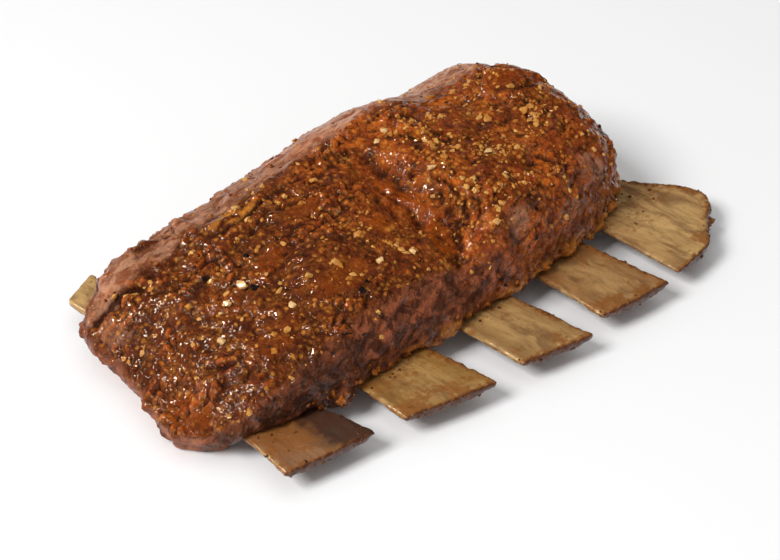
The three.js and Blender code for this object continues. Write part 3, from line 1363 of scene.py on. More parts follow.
    def finish_marks(
        self, places: np.ndarray, facing: np.ndarray, ground: Ground, cavity: np.ndarray
    ) -> dict[str, np.ndarray]:
        """The masks that the finish reads.

        Args:
            places: The surface's points before the relief.
            facing: The direction in which each one faced.
            ground: What each point belongs to.
            cavity: From 0 in a hollow to 1 on a ridge.

        Returns:
            Each mask by its name.
        """
        x, _, z = places.T
        plan = places[:, :2]
        wobble, upper, foot = ground.wobble, ground.upper, ground.foot
        orange = 0.08 + 0.9 * ease(x, -80, -35) * ease(-facing[:, 1], 0.0, 0.4)
        foot_fat = foot * ease(ground.foot_noise, -0.5, 0.2) * orange
        strands = Noise.rough(places * np.array([0.5, 1.0, 1.0]) + ground.warp, 4.0, 141)
        fat = self.covered(self.fatty, plan, 0.4 * wobble) * upper * ease(strands, -0.35, 0.25)
        chars = self.covered(self.chars, plan, wobble) * upper
        chars = chars * ease(Noise.rough(places, 5.0, 33), -0.3, 0.3)
        # Char laid into the crust's hollows: partly real char, partly painted shade.
        burnt = ease(Noise.rough(places, 9.0, 91), 0.35, 0.75) * ease(cavity, 0.6, 0.35)
        burnt = burnt * ground.rugged
        # The front face's left end is made darker with the char colour, as painted shade.
        shade = 0.55 * ground.front * ease(x + 8 * wobble, -60, -95)
        brown_left = ease(x + 25 * Noise.rough(places, 30.0, 55), 5, -60)
        cut = 0.75 * ground.low_left * ease(z + 3 * wobble, 17, 9)
        amber = np.maximum(0.85 * ground.pools, 0.7 * ground.slope)
        return {
            "cavity": cavity,
            "dry": ground.dry * (1 - 0.3 * ease(wobble, 0.0, 0.8)) * (1 - 0.8 * foot_fat),
            "browned": 0.8 * brown_left * ease(cavity, 0.95, 0.5),
            "smooth": ground.smooth,
            "amber": amber * ease(cavity, 0.1, 0.45),
            # The char mask carries the char spots and the painted shade of hollows and of the
            # front face's left end.
            "char": np.clip(0.85 * chars + 0.5 * burnt + shade, 0, 0.9),
            "band": ground.band,
            "cut": cut * ease(ground.foot_noise, 0.4, -0.3),
            "fat": np.maximum(foot_fat, fat),
        }

    def scatter_marks(
        self, places: np.ndarray, facing: np.ndarray, ground: Ground
    ) -> dict[str, np.ndarray]:
        """The masks that say where the loose grains lie; the finish reads the crust's too.

        Args:
            places: The surface's points before the relief.
            facing: The direction in which each one faced.
            ground: What each point belongs to.

        Returns:
            Each mask by its name.
        """
        x = places[:, 0]
        clusters = self.covered(self.clusters, places[:, :2], ground.wobble)
        stray = 0.3 * ease(Noise.rough(places, 16.0, 21), 0.1, 0.4)
        clusters = np.maximum(clusters, stray)
        thin_left = 0.42 + 0.58 * ease(x, -60, 0)
        garlic = ground.rugged * ease(facing[:, 2], 0.1, 0.45) * (0.07 + 0.93 * clusters)
        return {
            "crust": ground.rugged,
            "garlic": garlic * thin_left,
            "strands": ground.rugged * ease(facing[:, 2], 0.4, 0.7),
            "root": ground.foot * ease(-facing[:, 1], 0.2, 0.6) * ease(x, -110, -90),
        }

    def clods(self, places: np.ndarray, warp: np.ndarray, rugged: np.ndarray) -> np.ndarray:
        """The crust's lumps in two sizes, the cracks between them and its wrinkles.

        Args:
            places: The surface's points.
            warp: A slow drift for each point, from -1 to 1.
            rugged: How rough the crust is at each point.

        Returns:
            How far each point rises.
        """
        broken = 0.25 + 0.75 * ease(Noise.rough(places, 26.0, 47), -0.1, 0.45)
        large = self.clod_height + self.clod_extra * ease(places[:, 0], -50, -80)
        first, second, chance = Noise.cells(places + 4.5 * warp, self.clod_size, 40)
        dome = np.sqrt(np.clip(1 - (first / 0.8) ** 2, 0, 1))
        rise = broken * (large * chance**1.4 * dome - 0.6)
        rise -= 1.2 * (broken - 0.3) * bell((second - first) / 0.13)
        first, second, chance = Noise.cells(places + 2.2 * warp, self.lump_size, 60)
        dome = np.sqrt(np.clip(1 - (first / 0.7) ** 2, 0, 1))
        rise += broken * self.lump_height * chance**1.5 * dome
        rise -= 0.5 * (broken - 0.3) * bell((second - first) / 0.16)
        drawn_out = places * np.array([0.7, 1.0, 1.0]) + 3 * warp
        rise -= self.fold_depth * Noise.ridges(drawn_out, self.fold_size, 7)
        rise += (0.2 + 0.4 * broken) * Noise.rough(places + 1.5 * warp, 5.0, 67, 3)
        return rise * rugged

    def grain_of_the_meat(self, places: np.ndarray, ground: Ground) -> np.ndarray:
        """The fibres that show on the steep front and left, and on the back left of the top.

        Args:
            places: The surface's points.
            ground: What each point belongs to.

        Returns:
            How far each point rises.
        """
        x, y, z = places.T
        warp = ground.warp
        turned = np.stack([0.8 * x + 0.6 * z, y, 0.8 * z - 0.6 * x], axis=1)
        fibres = Noise.rough(turned * np.array([0.16, 1.0, 1.0]) + 0.5 * warp, 3.0, 9, 2)
        ledges = Noise.ridges(turned * np.array([0.35, 1.0, 1.0]) + 2.0 * warp, 12.0, 27)
        streaks = Noise.rough(places * np.array([0.14, 1.0, 1.0]) + 0.6 * warp, 2.8, 19, 2)
        streaky = ground.upper * ease(x, 10, -30) * ease(y + 6 * ground.wobble, 12, 34)
        fibrous = self.fibre_height * fibres - self.ledge_depth * ledges
        return ground.sheer * fibrous + self.fibre_height * streaky * streaks

    def cracks(self, plan: np.ndarray, upper: np.ndarray) -> tuple[np.ndarray, np.ndarray]:
        """The slab's own folds and cracks.

        Args:
            plan: The points' places in plan.
            upper: How much each point belongs to the top.

        Returns:
            How far each point rises, and how much painted shade the crack lays on it.
        """
        rise = np.zeros(len(plan))
        dark = np.zeros(len(plan))
        for crease in self.creases:
            gap, share = along_path(plan, crease.path)
            fade = ease(share, 0.0, 0.12) * ease(share, 1.0, 0.88) * upper
            rise -= crease.depth * bell(gap / crease.half) * fade
            rise += crease.step * np.tanh(gap / crease.half) * bell(gap / (4 * crease.half)) * fade
            # Painted shade along the crack.
            dark += crease.crack_shade * bell(gap / crease.half) * fade
        return rise, dark

    @staticmethod
    def covered(spots: tuple[Spot, ...], plan: np.ndarray, wobble: np.ndarray) -> np.ndarray:
        """How much of each place lies in one of the spots, whose outlines are uneven.

        Args:
            spots: The spots.
            plan: The points' places in plan.
            wobble: Slow noise that bends the outlines.

        Returns:
            A share from 0 to 1 for each point.
        """
        total = np.zeros(len(plan))
        for spot in spots:
            across = (plan[:, 0] - spot.x) / spot.half_x
            along = (plan[:, 1] - spot.y) / spot.half_y
            reach = np.hypot(across, along)
            total = np.maximum(total, spot.strength * ease(reach + 0.45 * wobble, 1.15, 0.6))
        return total


# ---------------------------------------------------------------- the bones


@dataclass
class Bone:
    """One flat rib bone with its sawn bare end in front.

    `scorch`, `grease` and `painted_highlight` run from 0 to 1; the last sets how much the bone's
    upward middle is lightened as a painted highlight.
    """

    name: str
    seed: int
    voxel: float = 1.05
    scorch: float = 0.0
    grease: float = 0.0
    painted_highlight: float = 0.35
    pale: Colour = tone(158, 119, 70)

    def built(self, node: bpy.types.Object) -> bpy.types.Object:
        """Makes the bone's mesh with its chips, pits and masks.

        Args:
            node: The frame's bone.

        Returns:
            The piece.
        """
        piece = closed_copy(node, f"{self.name}_bare", self.voxel)
        skin = Skin(piece.data)
        skin.points = skin.blurred(skin.points, 2)
        facing = skin.normals()
        places = skin.points.copy()
        y = places[:, 1]
        bare = ease(y, -28, -44)
        across = self.share_across(places)
        warp = Noise.rough(places, 9.0, self.seed)
        chips = Noise.rough(places, 3.4, self.seed + 5, 3)
        long_rough = Noise.rough(places * np.array([1, 0.22, 1]), 3.0, self.seed + 9, 2)

        right_edge = ease(across, 0.84, 0.96)
        left_edge = ease(across, -0.86, -0.97)
        sawn = ease(-facing[:, 1], 0.5, 0.8) * ease(y, -50, -60)
        rise = 0.15 * long_rough + 0.4 * warp
        rise += right_edge * (0.45 * chips + 0.1) + left_edge * 0.3 * chips
        rise += sawn * 0.5 * chips
        skin.points = places + facing * rise[:, None]

        to_front = self.distance_to_end(places)
        skin.mark("stain", self.stain(y, across, to_front, warp, chips))
        # The bone's upward middle is painted lighter, as a painted highlight; the back end is
        # light in itself.
        lit = ease(np.abs(across + 0.15 * warp), 0.8, 0.2) * ease(facing[:, 2], 0.3, 0.8)
        pale = np.maximum(self.painted_highlight * lit, 0.9 * ease(y, 72, 84))
        skin.mark("edge", np.maximum(left_edge * ease(chips, 0.3, -0.3), pale))
        # Downward faces are marked with the sawn end, as painted shade under the bone.
        skin.mark("sawn", np.maximum(sawn, ease(facing[:, 2], 0.0, -0.4) * 0.8))
        blotch = Noise.rough(places, 16.0, self.seed + 31)
        burnt = ease(across + 0.3 * blotch + 0.15 * chips, -0.05, 0.4)
        skin.mark("char", self.scorch * burnt * bare)
        ledge = right_edge * ease(facing[:, 2], -0.2, 0.3)
        ledge = np.maximum(ledge, 0.8 * ease(to_front, 4.0, 1.0))
        fringe = ease(y + 5 * warp, -62, -52)
        scraps = np.maximum(ledge * ease(warp, -0.5, 0.4), 0.35 * fringe)
        skin.mark("scrap", bare * scraps)
        skin.store()
        piece.data.polygons.foreach_set("use_smooth", np.ones(len(piece.data.polygons), bool))
        return piece

    def stain(
        self,
        y: np.ndarray,
        across: np.ndarray,
        to_front: np.ndarray,
        warp: np.ndarray,
        chips: np.ndarray,
    ) -> np.ndarray:
        """How brown the bone is at each point.

        Args:
            y: The points' places along the bone.
            across: Their places across it, from -1 to 1.
            to_front: How far they lie behind the sawn end.
            warp: Slow noise.
            chips: Fine noise.

        Returns:
            A share from 0 to 1 for each point.
        """
        bare = ease(y, -28, -44)
        rim = ease(to_front + 1.6 * chips, 3.4, 0.8)
        near_meat = ease(y + 9 * warp, -78, -54) * bare
        left_rim = ease(across + 0.1 * chips, -0.88, -0.97) * ease(chips, -0.1, 0.4)
        layers = (
            0.8 * ease(across + 0.12 * warp + 0.12 * chips, 0.66, 0.96),
            0.75 * rim,
            0.6 * left_rim,
            (0.25 + 0.6 * self.grease) * near_meat,
            0.45 * ease(chips, 0.5, 0.9),
            self.grease * ease(warp, -0.4, 0.5) * bare,
            0.6 * ease(to_front, 24, 3) * ease(warp, -0.4, 0.4),
        )
        return np.maximum.reduce(layers)

    @staticmethod
    def share_across(places: np.ndarray) -> np.ndarray:
        """Where each place lies across the bone.

        Args:
            places: The bone's points.

        Returns:
            From -1 at the bone's left side to 1 at its right side.
        """
        x, y, _ = places.T
        bands = np.round((y - y.min()) / 2.0).astype(int)
        left = np.full(bands.max() + 1, 1e9)
        right = np.full(bands.max() + 1, -1e9)
        np.minimum.at(left, bands, x)
        np.maximum.at(right, bands, x)
        return 2 * (x - left[bands]) / np.maximum(right[bands] - left[bands], 1) - 1

    @staticmethod
    def distance_to_end(places: np.ndarray) -> np.ndarray:
        """How far each place lies behind the front end.

        Args:
            places: The bone's points.

        Returns:
            The distance to the foremost point at the same x.
        """
        columns = np.round((places[:, 0] - places[:, 0].min()) / 1.5).astype(int)
        ends = np.full(columns.max() + 1, 1e9)
        np.minimum.at(ends, columns, places[:, 1])
        return places[:, 1] - ends[columns]


# ---------------------------------------------------------------- loose grains


class GrainShape(Enum):
    """The kinds of small shape that lie on the rack."""

    CHIP = "chip"
    FLAKE = "flake"
    BEAD = "bead"
    SHRED = "shred"


def shape_variants(kind: GrainShape, count: int, seed: int) -> bpy.types.Collection:
    """Makes a few different small shapes of one kind, one unit long.

    Args:
        kind: Which shape.
        count: How many different ones.
        seed: Chooses the random draws.

    Returns:
        A collection with one object for each, which the scene doesn't show.
    """
    draw = np.random.default_rng(seed)
    group = bpy.data.collections.new(f"{kind.value} shapes {seed}")
    for index in range(count):
        shape = bmesh.new()
        if kind is GrainShape.CHIP:
            spread = np.array([0.5, draw.uniform(0.36, 0.5), draw.uniform(0.26, 0.38)])
            for point in draw.normal(0, 1, (15, 3)):
                point = point / np.linalg.norm(point) * spread * draw.uniform(0.8, 1.15)
                shape.verts.new(Vector(point))
            bmesh.ops.convex_hull(shape, input=shape.verts)
        elif kind is GrainShape.FLAKE:
            spread = np.array([0.5, draw.uniform(0.28, 0.42), 0.1])
            for point in draw.uniform(-1, 1, (12, 3)):
                shape.verts.new(Vector(point * spread))
            bmesh.ops.convex_hull(shape, input=shape.verts)
        elif kind is GrainShape.BEAD:
            bmesh.ops.create_icosphere(shape, subdivisions=1, radius=0.5)
            for vertex in shape.verts:
                vertex.co.z *= 0.6
                vertex.co *= draw.uniform(0.85, 1.1)
        else:
            make_shred(shape, draw)
        loose = [vertex for vertex in shape.verts if not vertex.link_faces]
        bmesh.ops.delete(shape, geom=loose, context="VERTS")
        bmesh.ops.recalc_face_normals(shape, faces=shape.faces)
        mesh = bpy.data.meshes.new(f"{kind.value} {index}")
        shape.to_mesh(mesh)
        shape.free()
        group.objects.link(bpy.data.objects.new(mesh.name, mesh))
    return group


def make_shred(shape: bmesh.types.BMesh, draw: np.random.Generator) -> None:
    """Adds a thin bent strand, one unit long and tapered at both ends.

    Args:
        shape: The mesh that it is added to.
        draw: Random numbers for its bend and thickness.
    """
    rings = []
    steps, sides = 7, 5
    bend = draw.uniform(-0.25, 0.25)
    lift = draw.uniform(0.02, 0.12)
    thick = draw.uniform(0.035, 0.07)
    for step in range(steps + 1):
        t = step / steps
        middle = Vector((t - 0.5, bend * math.sin(math.pi * t), lift * math.sin(math.pi * t)))
        radius = thick * (0.25 + 0.75 * math.sin(math.pi * min(max(t, 0.05), 0.95)))
        ring = []
        for side in range(sides):
            angle = 2 * math.pi * side / sides
            outward = Vector((0, math.cos(angle), math.sin(angle)))
            ring.append(shape.verts.new(middle + outward * radius))
        rings.append(ring)
    for first, second in zip(rings, rings[1:]):
        for side in range(sides):
            shape.faces.new((first[side], first[side - 1], second[side - 1], second[side]))
    shape.faces.new(rings[0])
    shape.faces.new(list(reversed(rings[-1])))


class ScatterTree:
    """The Geometry Nodes tree that strews one kind of grain over a piece's surface."""

    NAME = "strewn grains"
    INPUTS = (
        ("Shapes", "NodeSocketCollection", None),
        ("Mask", "NodeSocketString", ""),
        ("Per square metre", "NodeSocketFloat", 1000.0),
        ("Smallest", "NodeSocketFloat", 0.001),
        ("Largest", "NodeSocketFloat", 0.003),
        ("Skew", "NodeSocketFloat", 2.0),
        ("Sink", "NodeSocketFloat", 0.2),
        ("Tilt", "NodeSocketFloat", 0.4),
        ("Seed", "NodeSocketInt", 1),
        ("Finish", "NodeSocketMaterial", None),
    )

    @classmethod
    def tree(cls) -> bpy.types.NodeTree:
        """The tree, built once.

        Returns:
            The tree, with its inputs.
        """
        found = bpy.data.node_groups.get(cls.NAME)
        if found:
            return found
        tree = bpy.data.node_groups.new(cls.NAME, "GeometryNodeTree")
        face = tree.interface
        face.new_socket("Geometry", in_out="INPUT", socket_type="NodeSocketGeometry")
        for name, kind, value in cls.INPUTS:
            socket = face.new_socket(name, in_out="INPUT", socket_type=kind)
            if value is not None:
                socket.default_value = value
        face.new_socket("Geometry", in_out="OUTPUT", socket_type="NodeSocketGeometry")
        nodes = Nodes(tree)
        given = nodes.add("NodeGroupInput").outputs

        mask = nodes.add("GeometryNodeInputNamedAttribute", data_type="FLOAT")
        nodes.plug(mask.inputs["Name"], given["Mask"])
        density = nodes.sum("MULTIPLY", mask.outputs["Attribute"], given["Per square metre"])
        strewn = nodes.add("GeometryNodeDistributePointsOnFaces")
        nodes.plug(strewn.inputs["Mesh"], given["Geometry"])
        nodes.plug(strewn.inputs["Density"], density)
        nodes.plug(strewn.inputs["Seed"], given["Seed"])

        chance = cls.random(nodes, "FLOAT", given["Seed"], 0.0, 1.0)
        skewed = nodes.sum("POWER", chance, given["Skew"])
        span = nodes.sum("SUBTRACT", given["Largest"], given["Smallest"])
        size = nodes.sum("MULTIPLY", skewed, span)
        size = nodes.sum("ADD", size, given["Smallest"])
        seed = nodes.sum("ADD", given["Seed"], 3)
        stretch = cls.random(nodes, "FLOAT_VECTOR", seed, (0.8, 0.8, 0.8), (1.2, 1.2, 1.2))
        scale = nodes.add("ShaderNodeVectorMath", operation="SCALE")
        nodes.plug(scale.inputs[0], stretch)
        nodes.plug(scale.inputs["Scale"], size)

        backwards = nodes.sum("MULTIPLY", given["Tilt"], -1.0)
        lean = nodes.add("ShaderNodeCombineXYZ")
        for axis, shift in (("X", 5), ("Y", 6)):
            seed = nodes.sum("ADD", given["Seed"], shift)
            turn = cls.random(nodes, "FLOAT", seed, backwards, given["Tilt"])
            nodes.plug(lean.inputs[axis], turn)
        spin = cls.random(nodes, "FLOAT", nodes.sum("ADD", given["Seed"], 7), 0.0, 2 * math.pi)
        nodes.plug(lean.inputs["Z"], spin)
        turned = nodes.add("FunctionNodeRotateRotation", rotation_space="LOCAL")
        nodes.plug(turned.inputs["Rotation"], strewn.outputs["Rotation"])
        nodes.plug(turned.inputs["Rotate By"], lean.outputs[0])

        shapes = nodes.add("GeometryNodeCollectionInfo")
        nodes.plug(shapes.inputs["Collection"], given["Shapes"])
        shapes.inputs["Separate Children"].default_value = True
        shapes.inputs["Reset Children"].default_value = True
        pick = cls.random(nodes, "INT", nodes.sum("ADD", given["Seed"], 9), 0, 99)
        laid = nodes.add("GeometryNodeInstanceOnPoints")
        nodes.plug(laid.inputs["Points"], strewn.outputs["Points"])
        nodes.plug(laid.inputs["Instance"], shapes.outputs[0])
        laid.inputs["Pick Instance"].default_value = True
        nodes.plug(laid.inputs["Instance Index"], pick)
        nodes.plug(laid.inputs["Rotation"], turned.outputs[0])
        nodes.plug(laid.inputs["Scale"], scale.outputs[0])

        sunk = nodes.add("GeometryNodeTranslateInstances")
        down = nodes.add("ShaderNodeCombineXYZ")
        sinking = nodes.sum("MULTIPLY", size, given["Sink"])
        nodes.plug(down.inputs["Z"], nodes.sum("MULTIPLY", sinking, -1.0))
        nodes.plug(sunk.inputs["Instances"], laid.outputs["Instances"])
        nodes.plug(sunk.inputs["Translation"], down.outputs[0])
        sunk.inputs["Local Space"].default_value = True
        hue = nodes.add(
            "GeometryNodeStoreNamedAttribute", data_type="FLOAT", domain="INSTANCE"
        )
        hue.inputs["Name"].default_value = "hue"
        nodes.plug(hue.inputs["Geometry"], sunk.outputs["Instances"])
        seed = nodes.sum("ADD", given["Seed"], 11)
        nodes.plug(hue.inputs["Value"], cls.random(nodes, "FLOAT", seed, 0.0, 1.0))

        real = nodes.add("GeometryNodeRealizeInstances")
        nodes.plug(real.inputs["Geometry"], hue.outputs["Geometry"])
        dressed = nodes.add("GeometryNodeSetMaterial")
        nodes.plug(dressed.inputs["Geometry"], real.outputs["Geometry"])
        nodes.plug(dressed.inputs["Material"], given["Finish"])
        nodes.plug(nodes.add("NodeGroupOutput").inputs["Geometry"], dressed.outputs["Geometry"])
        return tree

    @staticmethod
    def random(
        nodes: Nodes, kind: str, seed: object, low: object, high: object
    ) -> bpy.types.NodeSocket:
        """A random value of a kind for each point.

        Args:
            nodes: The tree's nodes.
            kind: FLOAT, INT or FLOAT_VECTOR.
            seed: Chooses the draws.
            low: Lowest value.
            high: Highest value.

        Returns:
            The value's socket.
        """
        node = nodes.add("FunctionNodeRandomValue", data_type=kind)
        enabled = [socket for socket in node.inputs if socket.enabled]
        by_name = {socket.name: socket for socket in enabled}
        nodes.plug(by_name["Min"], low)
        nodes.plug(by_name["Max"], high)
        nodes.plug(by_name["Seed"], seed)
        return next(socket for socket in node.outputs if socket.enabled)


@dataclass
class Grains:
    """One kind of small thing strewn over a piece.

    `smallest` and `largest` are lengths in millimetres. A larger `skew` makes more of them
    small, `sink` is how much of its length each one sinks, and `tilt` is in radians.
    """

    name: str
    shape: GrainShape
    mask: str
    per_square_metre: float
    smallest: float
    largest: float
    finish: GrainFinish
    seed: int
    skew: float = 2.0
    sink: float = 0.15
    tilt: float = 0.45
    variants: int = 8
    slot: str = "meat"
    rounded: bool = True

    def strewn(self, hosts: list[bpy.types.Object]) -> bpy.types.Object:
        """Strews the grains and returns them as one piece.

        Args:
            hosts: The pieces whose surfaces they lie on.

        Returns:
            The joined grains.
        """
        shapes = shape_variants(self.shape, self.variants, self.seed)
        tree = ScatterTree.tree()
        shared = bmesh.new()
        for host in hosts:
            shared.from_mesh(host.data)
        carrier = new_piece("carrier", bpy.data.meshes.new("carrier"))
        shared.to_mesh(carrier.data)
        shared.free()
        modifier = carrier.modifiers.new("strewn", "NODES")
        modifier.node_group = tree
        values = {
            "Shapes": shapes,
            "Mask": self.mask,
            "Per square metre": self.per_square_metre,
            "Smallest": self.smallest * MM,
            "Largest": self.largest * MM,
            "Skew": self.skew,
            "Sink": self.sink,
            "Tilt": self.tilt,
            "Seed": self.seed,
            "Finish": self.finish.made(),
        }
        for item in tree.interface.items_tree:
            if item.name in values:
                modifier[item.identifier] = values[item.name]
        mesh = evaluated_mesh(carrier)
        bpy.data.objects.remove(carrier)
        for shape in list(shapes.objects):
            bpy.data.objects.remove(shape)
        bpy.data.collections.remove(shapes)
        piece = new_piece(self.name, mesh)
        if self.rounded:
            mesh.polygons.foreach_set("use_smooth", np.ones(len(mesh.polygons), bool))
        return piece


@dataclass(frozen=True)
class Bit:
    """One large grain with a place of its own on the slab, turned by degrees."""

    x: float
    y: float
    length: float
    turn: float
    burnt: bool = False


@dataclass(frozen=True)
class LargeBits:
    """The few large pieces of garlic and burnt flakes that stand out on the crust.

    The width and the thicknesses are half sizes, in shares of a bit's length.
    """

    bits: tuple[Bit, ...] = (
        Bit(-88.5, 8.5, 7.0, 30),
        Bit(-87.0, 2.5, 5.5, 100, True),
        Bit(-100.5, 5.5, 4.6, 160),
        Bit(-114.0, -5.5, 4.8, 20),
        Bit(-84.0, -17.5, 4.4, 70),
        Bit(-39.0, -26.0, 4.6, 130),
        Bit(-22.5, -30.0, 4.2, 80),
        Bit(18.0, -3.0, 4.8, 100),
        Bit(16.0, 30.0, 4.2, 10),
        Bit(24.0, 33.0, 4.6, 60),
        Bit(47.0, -12.0, 4.8, 10),
        Bit(-58.0, -34.0, 5.0, 60, True),
        Bit(-95.5, 25.0, 4.2, 10, True),
        Bit(-75.0, 21.0, 3.6, 140, True),
    )
    width: float = 0.42
    thickness: float = 0.3
    burnt_thickness: float = 0.14

    def placed(self, skin: Skin, garlic: GrainFinish, burnt: GrainFinish) -> bpy.types.Object:
        """Lays the bits on the slab.

        Args:
            skin: The slab's points.
            garlic: The pale bits' finish.
            burnt: The dark ones' finish.

        Returns:
            The joined bits.
        """
        draw = np.random.default_rng(5)
        shape = bmesh.new()
        for bit in self.bits:
            away = np.hypot(skin.points[:, 0] - bit.x, skin.points[:, 1] - bit.y)
            top = skin.points[away < 2.5][:, 2].max()
            turn = Matrix.Rotation(math.radians(bit.turn), 3, "Z")
            thick = self.burnt_thickness if bit.burnt else self.thickness
            spread = Vector((0.5, self.width, thick)) * bit.length
            corners = []
            for point in draw.normal(0, 1, (18, 3)):
                spot = Vector(point).normalized() * draw.uniform(0.85, 1.1)
                spot = turn @ Vector(a * b for a, b in zip(spot, spread))
                corners.append(shape.verts.new((spot + Vector((bit.x, bit.y, top))) * MM))
            made = bmesh.ops.convex_hull(shape, input=corners)
            bmesh.ops.delete(shape, geom=made["geom_interior"], context="VERTS")
            for face in (part for part in made["geom"] if isinstance(part, bmesh.types.BMFace)):
                face.material_index = int(bit.burnt)
        bmesh.ops.recalc_face_normals(shape, faces=shape.faces)
        piece = new_piece("large_bits", bpy.data.meshes.new("large_bits"))
        shape.to_mesh(piece.data)
        shape.free()
        for finish in (garlic, burnt):
            piece.data.materials.append(finish.made())
        return piece


# ---------------------------------------------------------------- the whole rack


def report(piece: bpy.types.Object) -> None:
    """Logs a piece's name and size."""
    faces = sum(len(polygon.vertices) - 2 for polygon in piece.data.polygons)
    log.info("%s: %d triangles", piece.name, faces)


@dataclass
class Rack:
    """The whole rack of ribs, built around the frame."""

    frame: dict
    meat: Meat = field(default_factory=Meat)
    bones: tuple[Bone, ...] = (
        Bone("bone_1", 100, scorch=0.85, grease=0.5, painted_highlight=0.1, pale=tone(140, 98, 68)),
        Bone("bone_2", 200, grease=0.3, painted_highlight=0.4, pale=tone(150, 110, 56)),
        Bone("bone_3", 300, grease=0.2, painted_highlight=0.6, pale=tone(154, 118, 72)),
        Bone("bone_4", 400, grease=0.3, painted_highlight=0.4, pale=tone(154, 112, 68)),
        Bone("bone_5", 500, grease=0.15, painted_highlight=0.8, pale=tone(180, 140, 88)),
    )

    def build(self) -> None:
        """Builds, dresses and hands over every piece."""
        nodes = self.frame["nodes"]
        slab, skin = self.meat.built(nodes["meat"])
        slab.data.materials.append(MeatFinish().made())
        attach(slab, BODY)
        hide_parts("meat")
        report(slab)

        bare = []
        for bone in self.bones:
            name = bone.name
            piece = bone.built(nodes[name])
            bare.append(piece)
            piece.data.materials.append(BoneFinish(f"cooked {name}", bone.pale).made())
            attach(piece, BODY)
            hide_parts(name)
            report(piece)

        pale_tone, dark_tone = tone(222, 180, 122), tone(26, 20, 20)
        pale = GrainFinish("large garlic", pale_tone, pale_tone, tone(180, 120, 60), 0.25, 0.6)
        dark = GrainFinish("burnt flakes", dark_tone, dark_tone, tone(48, 28, 18), 0.15, 0.8)
        bits = LargeBits().placed(skin, pale, dark)
        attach(bits, BODY)
        report(bits)

        for grains in self.grains():
            piece = grains.strewn(bare if grains.slot == "bone" else [slab])
            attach(piece, BODY)
            report(piece)

    @staticmethod
    def grains() -> tuple[Grains, ...]:
        """Every kind of loose grain on the meat and the bones.

        Returns:
            The kinds, in the order in which they are strewn.
        """
        finishes = {
            name: GrainFinish(name, tone(*first), tone(*second), tone(*shade), roughness, coat)
            for name, first, second, shade, roughness, coat in (
                ("garlic", (216, 162, 88), (182, 114, 42), (150, 84, 28), 0.25, 0.6),
                ("small crumbs", (206, 138, 56), (136, 70, 20), (104, 52, 16), 0.25, 0.5),
                ("pepper", (30, 24, 22), (52, 30, 20), (16, 13, 12), 0.3, 0.3),
                ("glaze beads", (132, 58, 10), (90, 38, 8), (104, 46, 8), 0.12, 0.6),
                ("shreds", (116, 54, 20), (72, 32, 14), (132, 66, 20), 0.3, 0.3),
                ("root fringe", (176, 100, 32), (92, 44, 16), (66, 32, 14), 0.2, 0.6),
                ("bone scraps", (116, 66, 26), (66, 34, 16), (50, 26, 14), 0.3, 0.3),
            )
        }
        return (
            Grains(
                name="garlic_granules",
                shape=GrainShape.CHIP,
                mask="garlic",
                per_square_metre=52000,
                smallest=1.8,
                largest=4.8,
                finish=finishes["garlic"],
                seed=11,
                skew=1.5,
                sink=0.2,
                rounded=False,
            ),
            Grains(
                name="garlic_crumbs",
                shape=GrainShape.CHIP,
                mask="garlic",
                per_square_metre=120000,
                smallest=0.9,
                largest=2.8,
                finish=finishes["small crumbs"],
                seed=12,
                skew=1.5,
                sink=0.2,
            ),
            Grains(
                name="pepper_flakes",
                shape=GrainShape.FLAKE,
                mask="crust",
                per_square_metre=3500,
                smallest=0.8,
                largest=3.2,
                finish=finishes["pepper"],
                seed=13,
                skew=3.0,
                rounded=False,
            ),
            Grains(
                name="glaze_beads",
                shape=GrainShape.BEAD,
                mask="crust",
                per_square_metre=9000,
                smallest=0.9,
                largest=3.0,
                finish=finishes["glaze beads"],
                seed=14,
                sink=0.32,
            ),
            Grains(
                name="meat_shreds",
                shape=GrainShape.SHRED,
                mask="strands",
                per_square_metre=5000,
                smallest=2.5,
                largest=8.0,
                finish=finishes["shreds"],
                seed=15,
                skew=1.5,
                sink=0.02,
                tilt=0.2,
            ),
            Grains(
                name="root_scraps",
                shape=GrainShape.CHIP,
                mask="root",
                per_square_metre=80000,
                smallest=1.6,
                largest=5.5,
                finish=finishes["root fringe"],
                seed=16,
                skew=1.8,
                sink=0.3,
                rounded=False,
            ),
            Grains(
                name="bone_scraps",
                shape=GrainShape.CHIP,
                mask="scrap",
                per_square_metre=80000,
                smallest=0.7,
                largest=2.4,
                finish=finishes["bone scraps"],
                seed=17,
                skew=2.2,
                sink=0.25,
                slot="bone",
            ),
        )


# ---------------------------------------------------------------- studio


class LightUse(Enum):
    """What a light is for."""

    SOFT = "shades the surfaces, but shiny ones don't mirror it"
    SPARKLE = "only shows as a small reflection in what is wet"


@dataclass(frozen=True)
class Lamp:
    """A square light that faces the rack: its side and distance in metres, power in watts."""

    name: str
    towards: Triple
    distance: float
    size: float
    power: float
    use: LightUse

    def placed(self) -> None:
        """Adds the light to the scene."""
        data = bpy.data.lights.new(self.name, "AREA")
        data.size = self.size
        data.energy = self.power
        if self.use is LightUse.SPARKLE:
            data.color = WARM_WHITE
        light = bpy.data.objects.new(self.name, data)
        bpy.context.scene.collection.objects.link(light)
        direction = Vector(self.towards).normalized()
        light.location = direction * self.distance
        light.rotation_mode = "QUATERNION"
        light.rotation_quaternion = direction.to_track_quat("Z", "Y")
        light.visible_glossy = self.use is LightUse.SPARKLE
        light.visible_diffuse = self.use is LightUse.SOFT


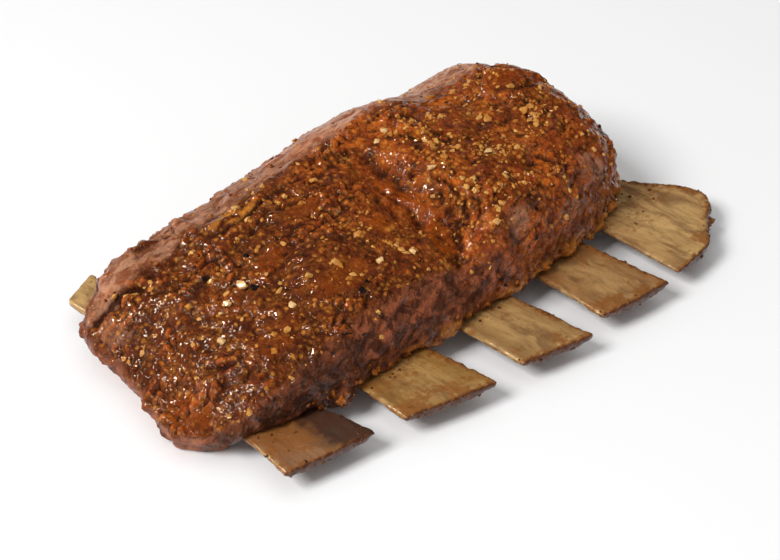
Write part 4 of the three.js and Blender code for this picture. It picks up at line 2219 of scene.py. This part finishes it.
@dataclass(frozen=True)
class Studio:
    """The camera, the pale floor and the lights.

    Lengths are metres, apart from the lens and the sensor in millimetres. The camera's
    elevation and azimuth are degrees.
    """

    lens: float = 83.08
    sensor: float = 36.0
    elevation: float = 36.22
    azimuth: float = -45.98
    distance: float = 0.85272
    aim: Triple = (0.001418, 0.00725, 0.0)
    floor_half: float = 6.0
    floor_tone: float = 0.885
    floor_roughness: float = 0.9
    room: float = 0.43
    lamps: tuple[Lamp, ...] = (
        Lamp("soft box", (-0.85, 0.1, 0.86), 2.6, 0.95, 60.0, LightUse.SOFT),
        Lamp("overhead", (0.05, 0.05, 1.0), 2.6, 2.4, 8.0, LightUse.SOFT),
        Lamp("left sparkle", (-0.85, 0.08, 1.2), 2.4, 0.28, 24.0, LightUse.SPARKLE),
        Lamp("back sparkle", (-0.5, 0.9, 1.1), 2.3, 0.26, 26.0, LightUse.SPARKLE),
        Lamp("near sparkle", (-1.0, -0.5, 1.0), 2.3, 0.2, 14.0, LightUse.SPARKLE),
    )

    def set_up(self) -> None:
        """Makes the camera, the floor and the lights."""
        scene = bpy.context.scene
        scene.view_settings.view_transform = "Standard"
        self.camera()
        self.floor()
        self.lights()

    def camera(self) -> None:
        """Looks down on the rack from its front left."""
        data = bpy.data.cameras.new("camera")
        data.lens = self.lens
        data.sensor_width = self.sensor
        camera = bpy.data.objects.new("camera", data)
        bpy.context.scene.collection.objects.link(camera)
        turn, rise = math.radians(self.azimuth), math.radians(self.elevation)
        level = math.cos(rise)
        back = Vector((math.sin(turn) * level, -math.cos(turn) * level, math.sin(rise)))
        camera.location = Vector(self.aim) + back * self.distance
        camera.rotation_mode = "QUATERNION"
        camera.rotation_quaternion = (-back).to_track_quat("-Z", "Y")
        bpy.context.scene.camera = camera

    def floor(self) -> None:
        """A wide pale floor."""
        shape = bmesh.new()
        bmesh.ops.create_grid(shape, x_segments=1, y_segments=1, size=self.floor_half)
        mesh = bpy.data.meshes.new("floor")
        shape.to_mesh(mesh)
        shape.free()
        floor = new_piece("floor", mesh)
        material, _, shader = blank_finish("pale floor")
        pale = self.floor_tone
        shader.inputs["Base Color"].default_value = (pale, pale, pale, 1.0)
        shader.inputs["Roughness"].default_value = self.floor_roughness
        shader.inputs["Specular IOR Level"].default_value = 0.0
        mesh.materials.append(material)

    def lights(self) -> None:
        """The lamps, and a pale room round them that shiny surfaces don't mirror."""
        world = bpy.data.worlds.new("room")
        world.use_nodes = True
        tree = world.node_tree
        background = next(node for node in tree.nodes if node.type == "BACKGROUND")
        background.inputs["Color"].default_value = (1.0, 1.0, 1.0, 1.0)
        background.inputs["Strength"].default_value = self.room
        bpy.context.scene.world = world
        world.cycles_visibility.glossy = False
        for lamp in self.lamps:
            lamp.placed()


def main() -> None:
    """Builds the rack and its studio around the frame."""
    logging.basicConfig(level=logging.INFO, format="%(name)s: %(message)s")
    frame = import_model()
    Studio().set_up()
    Rack(frame).build()


if __name__ == "__main__":
    main()
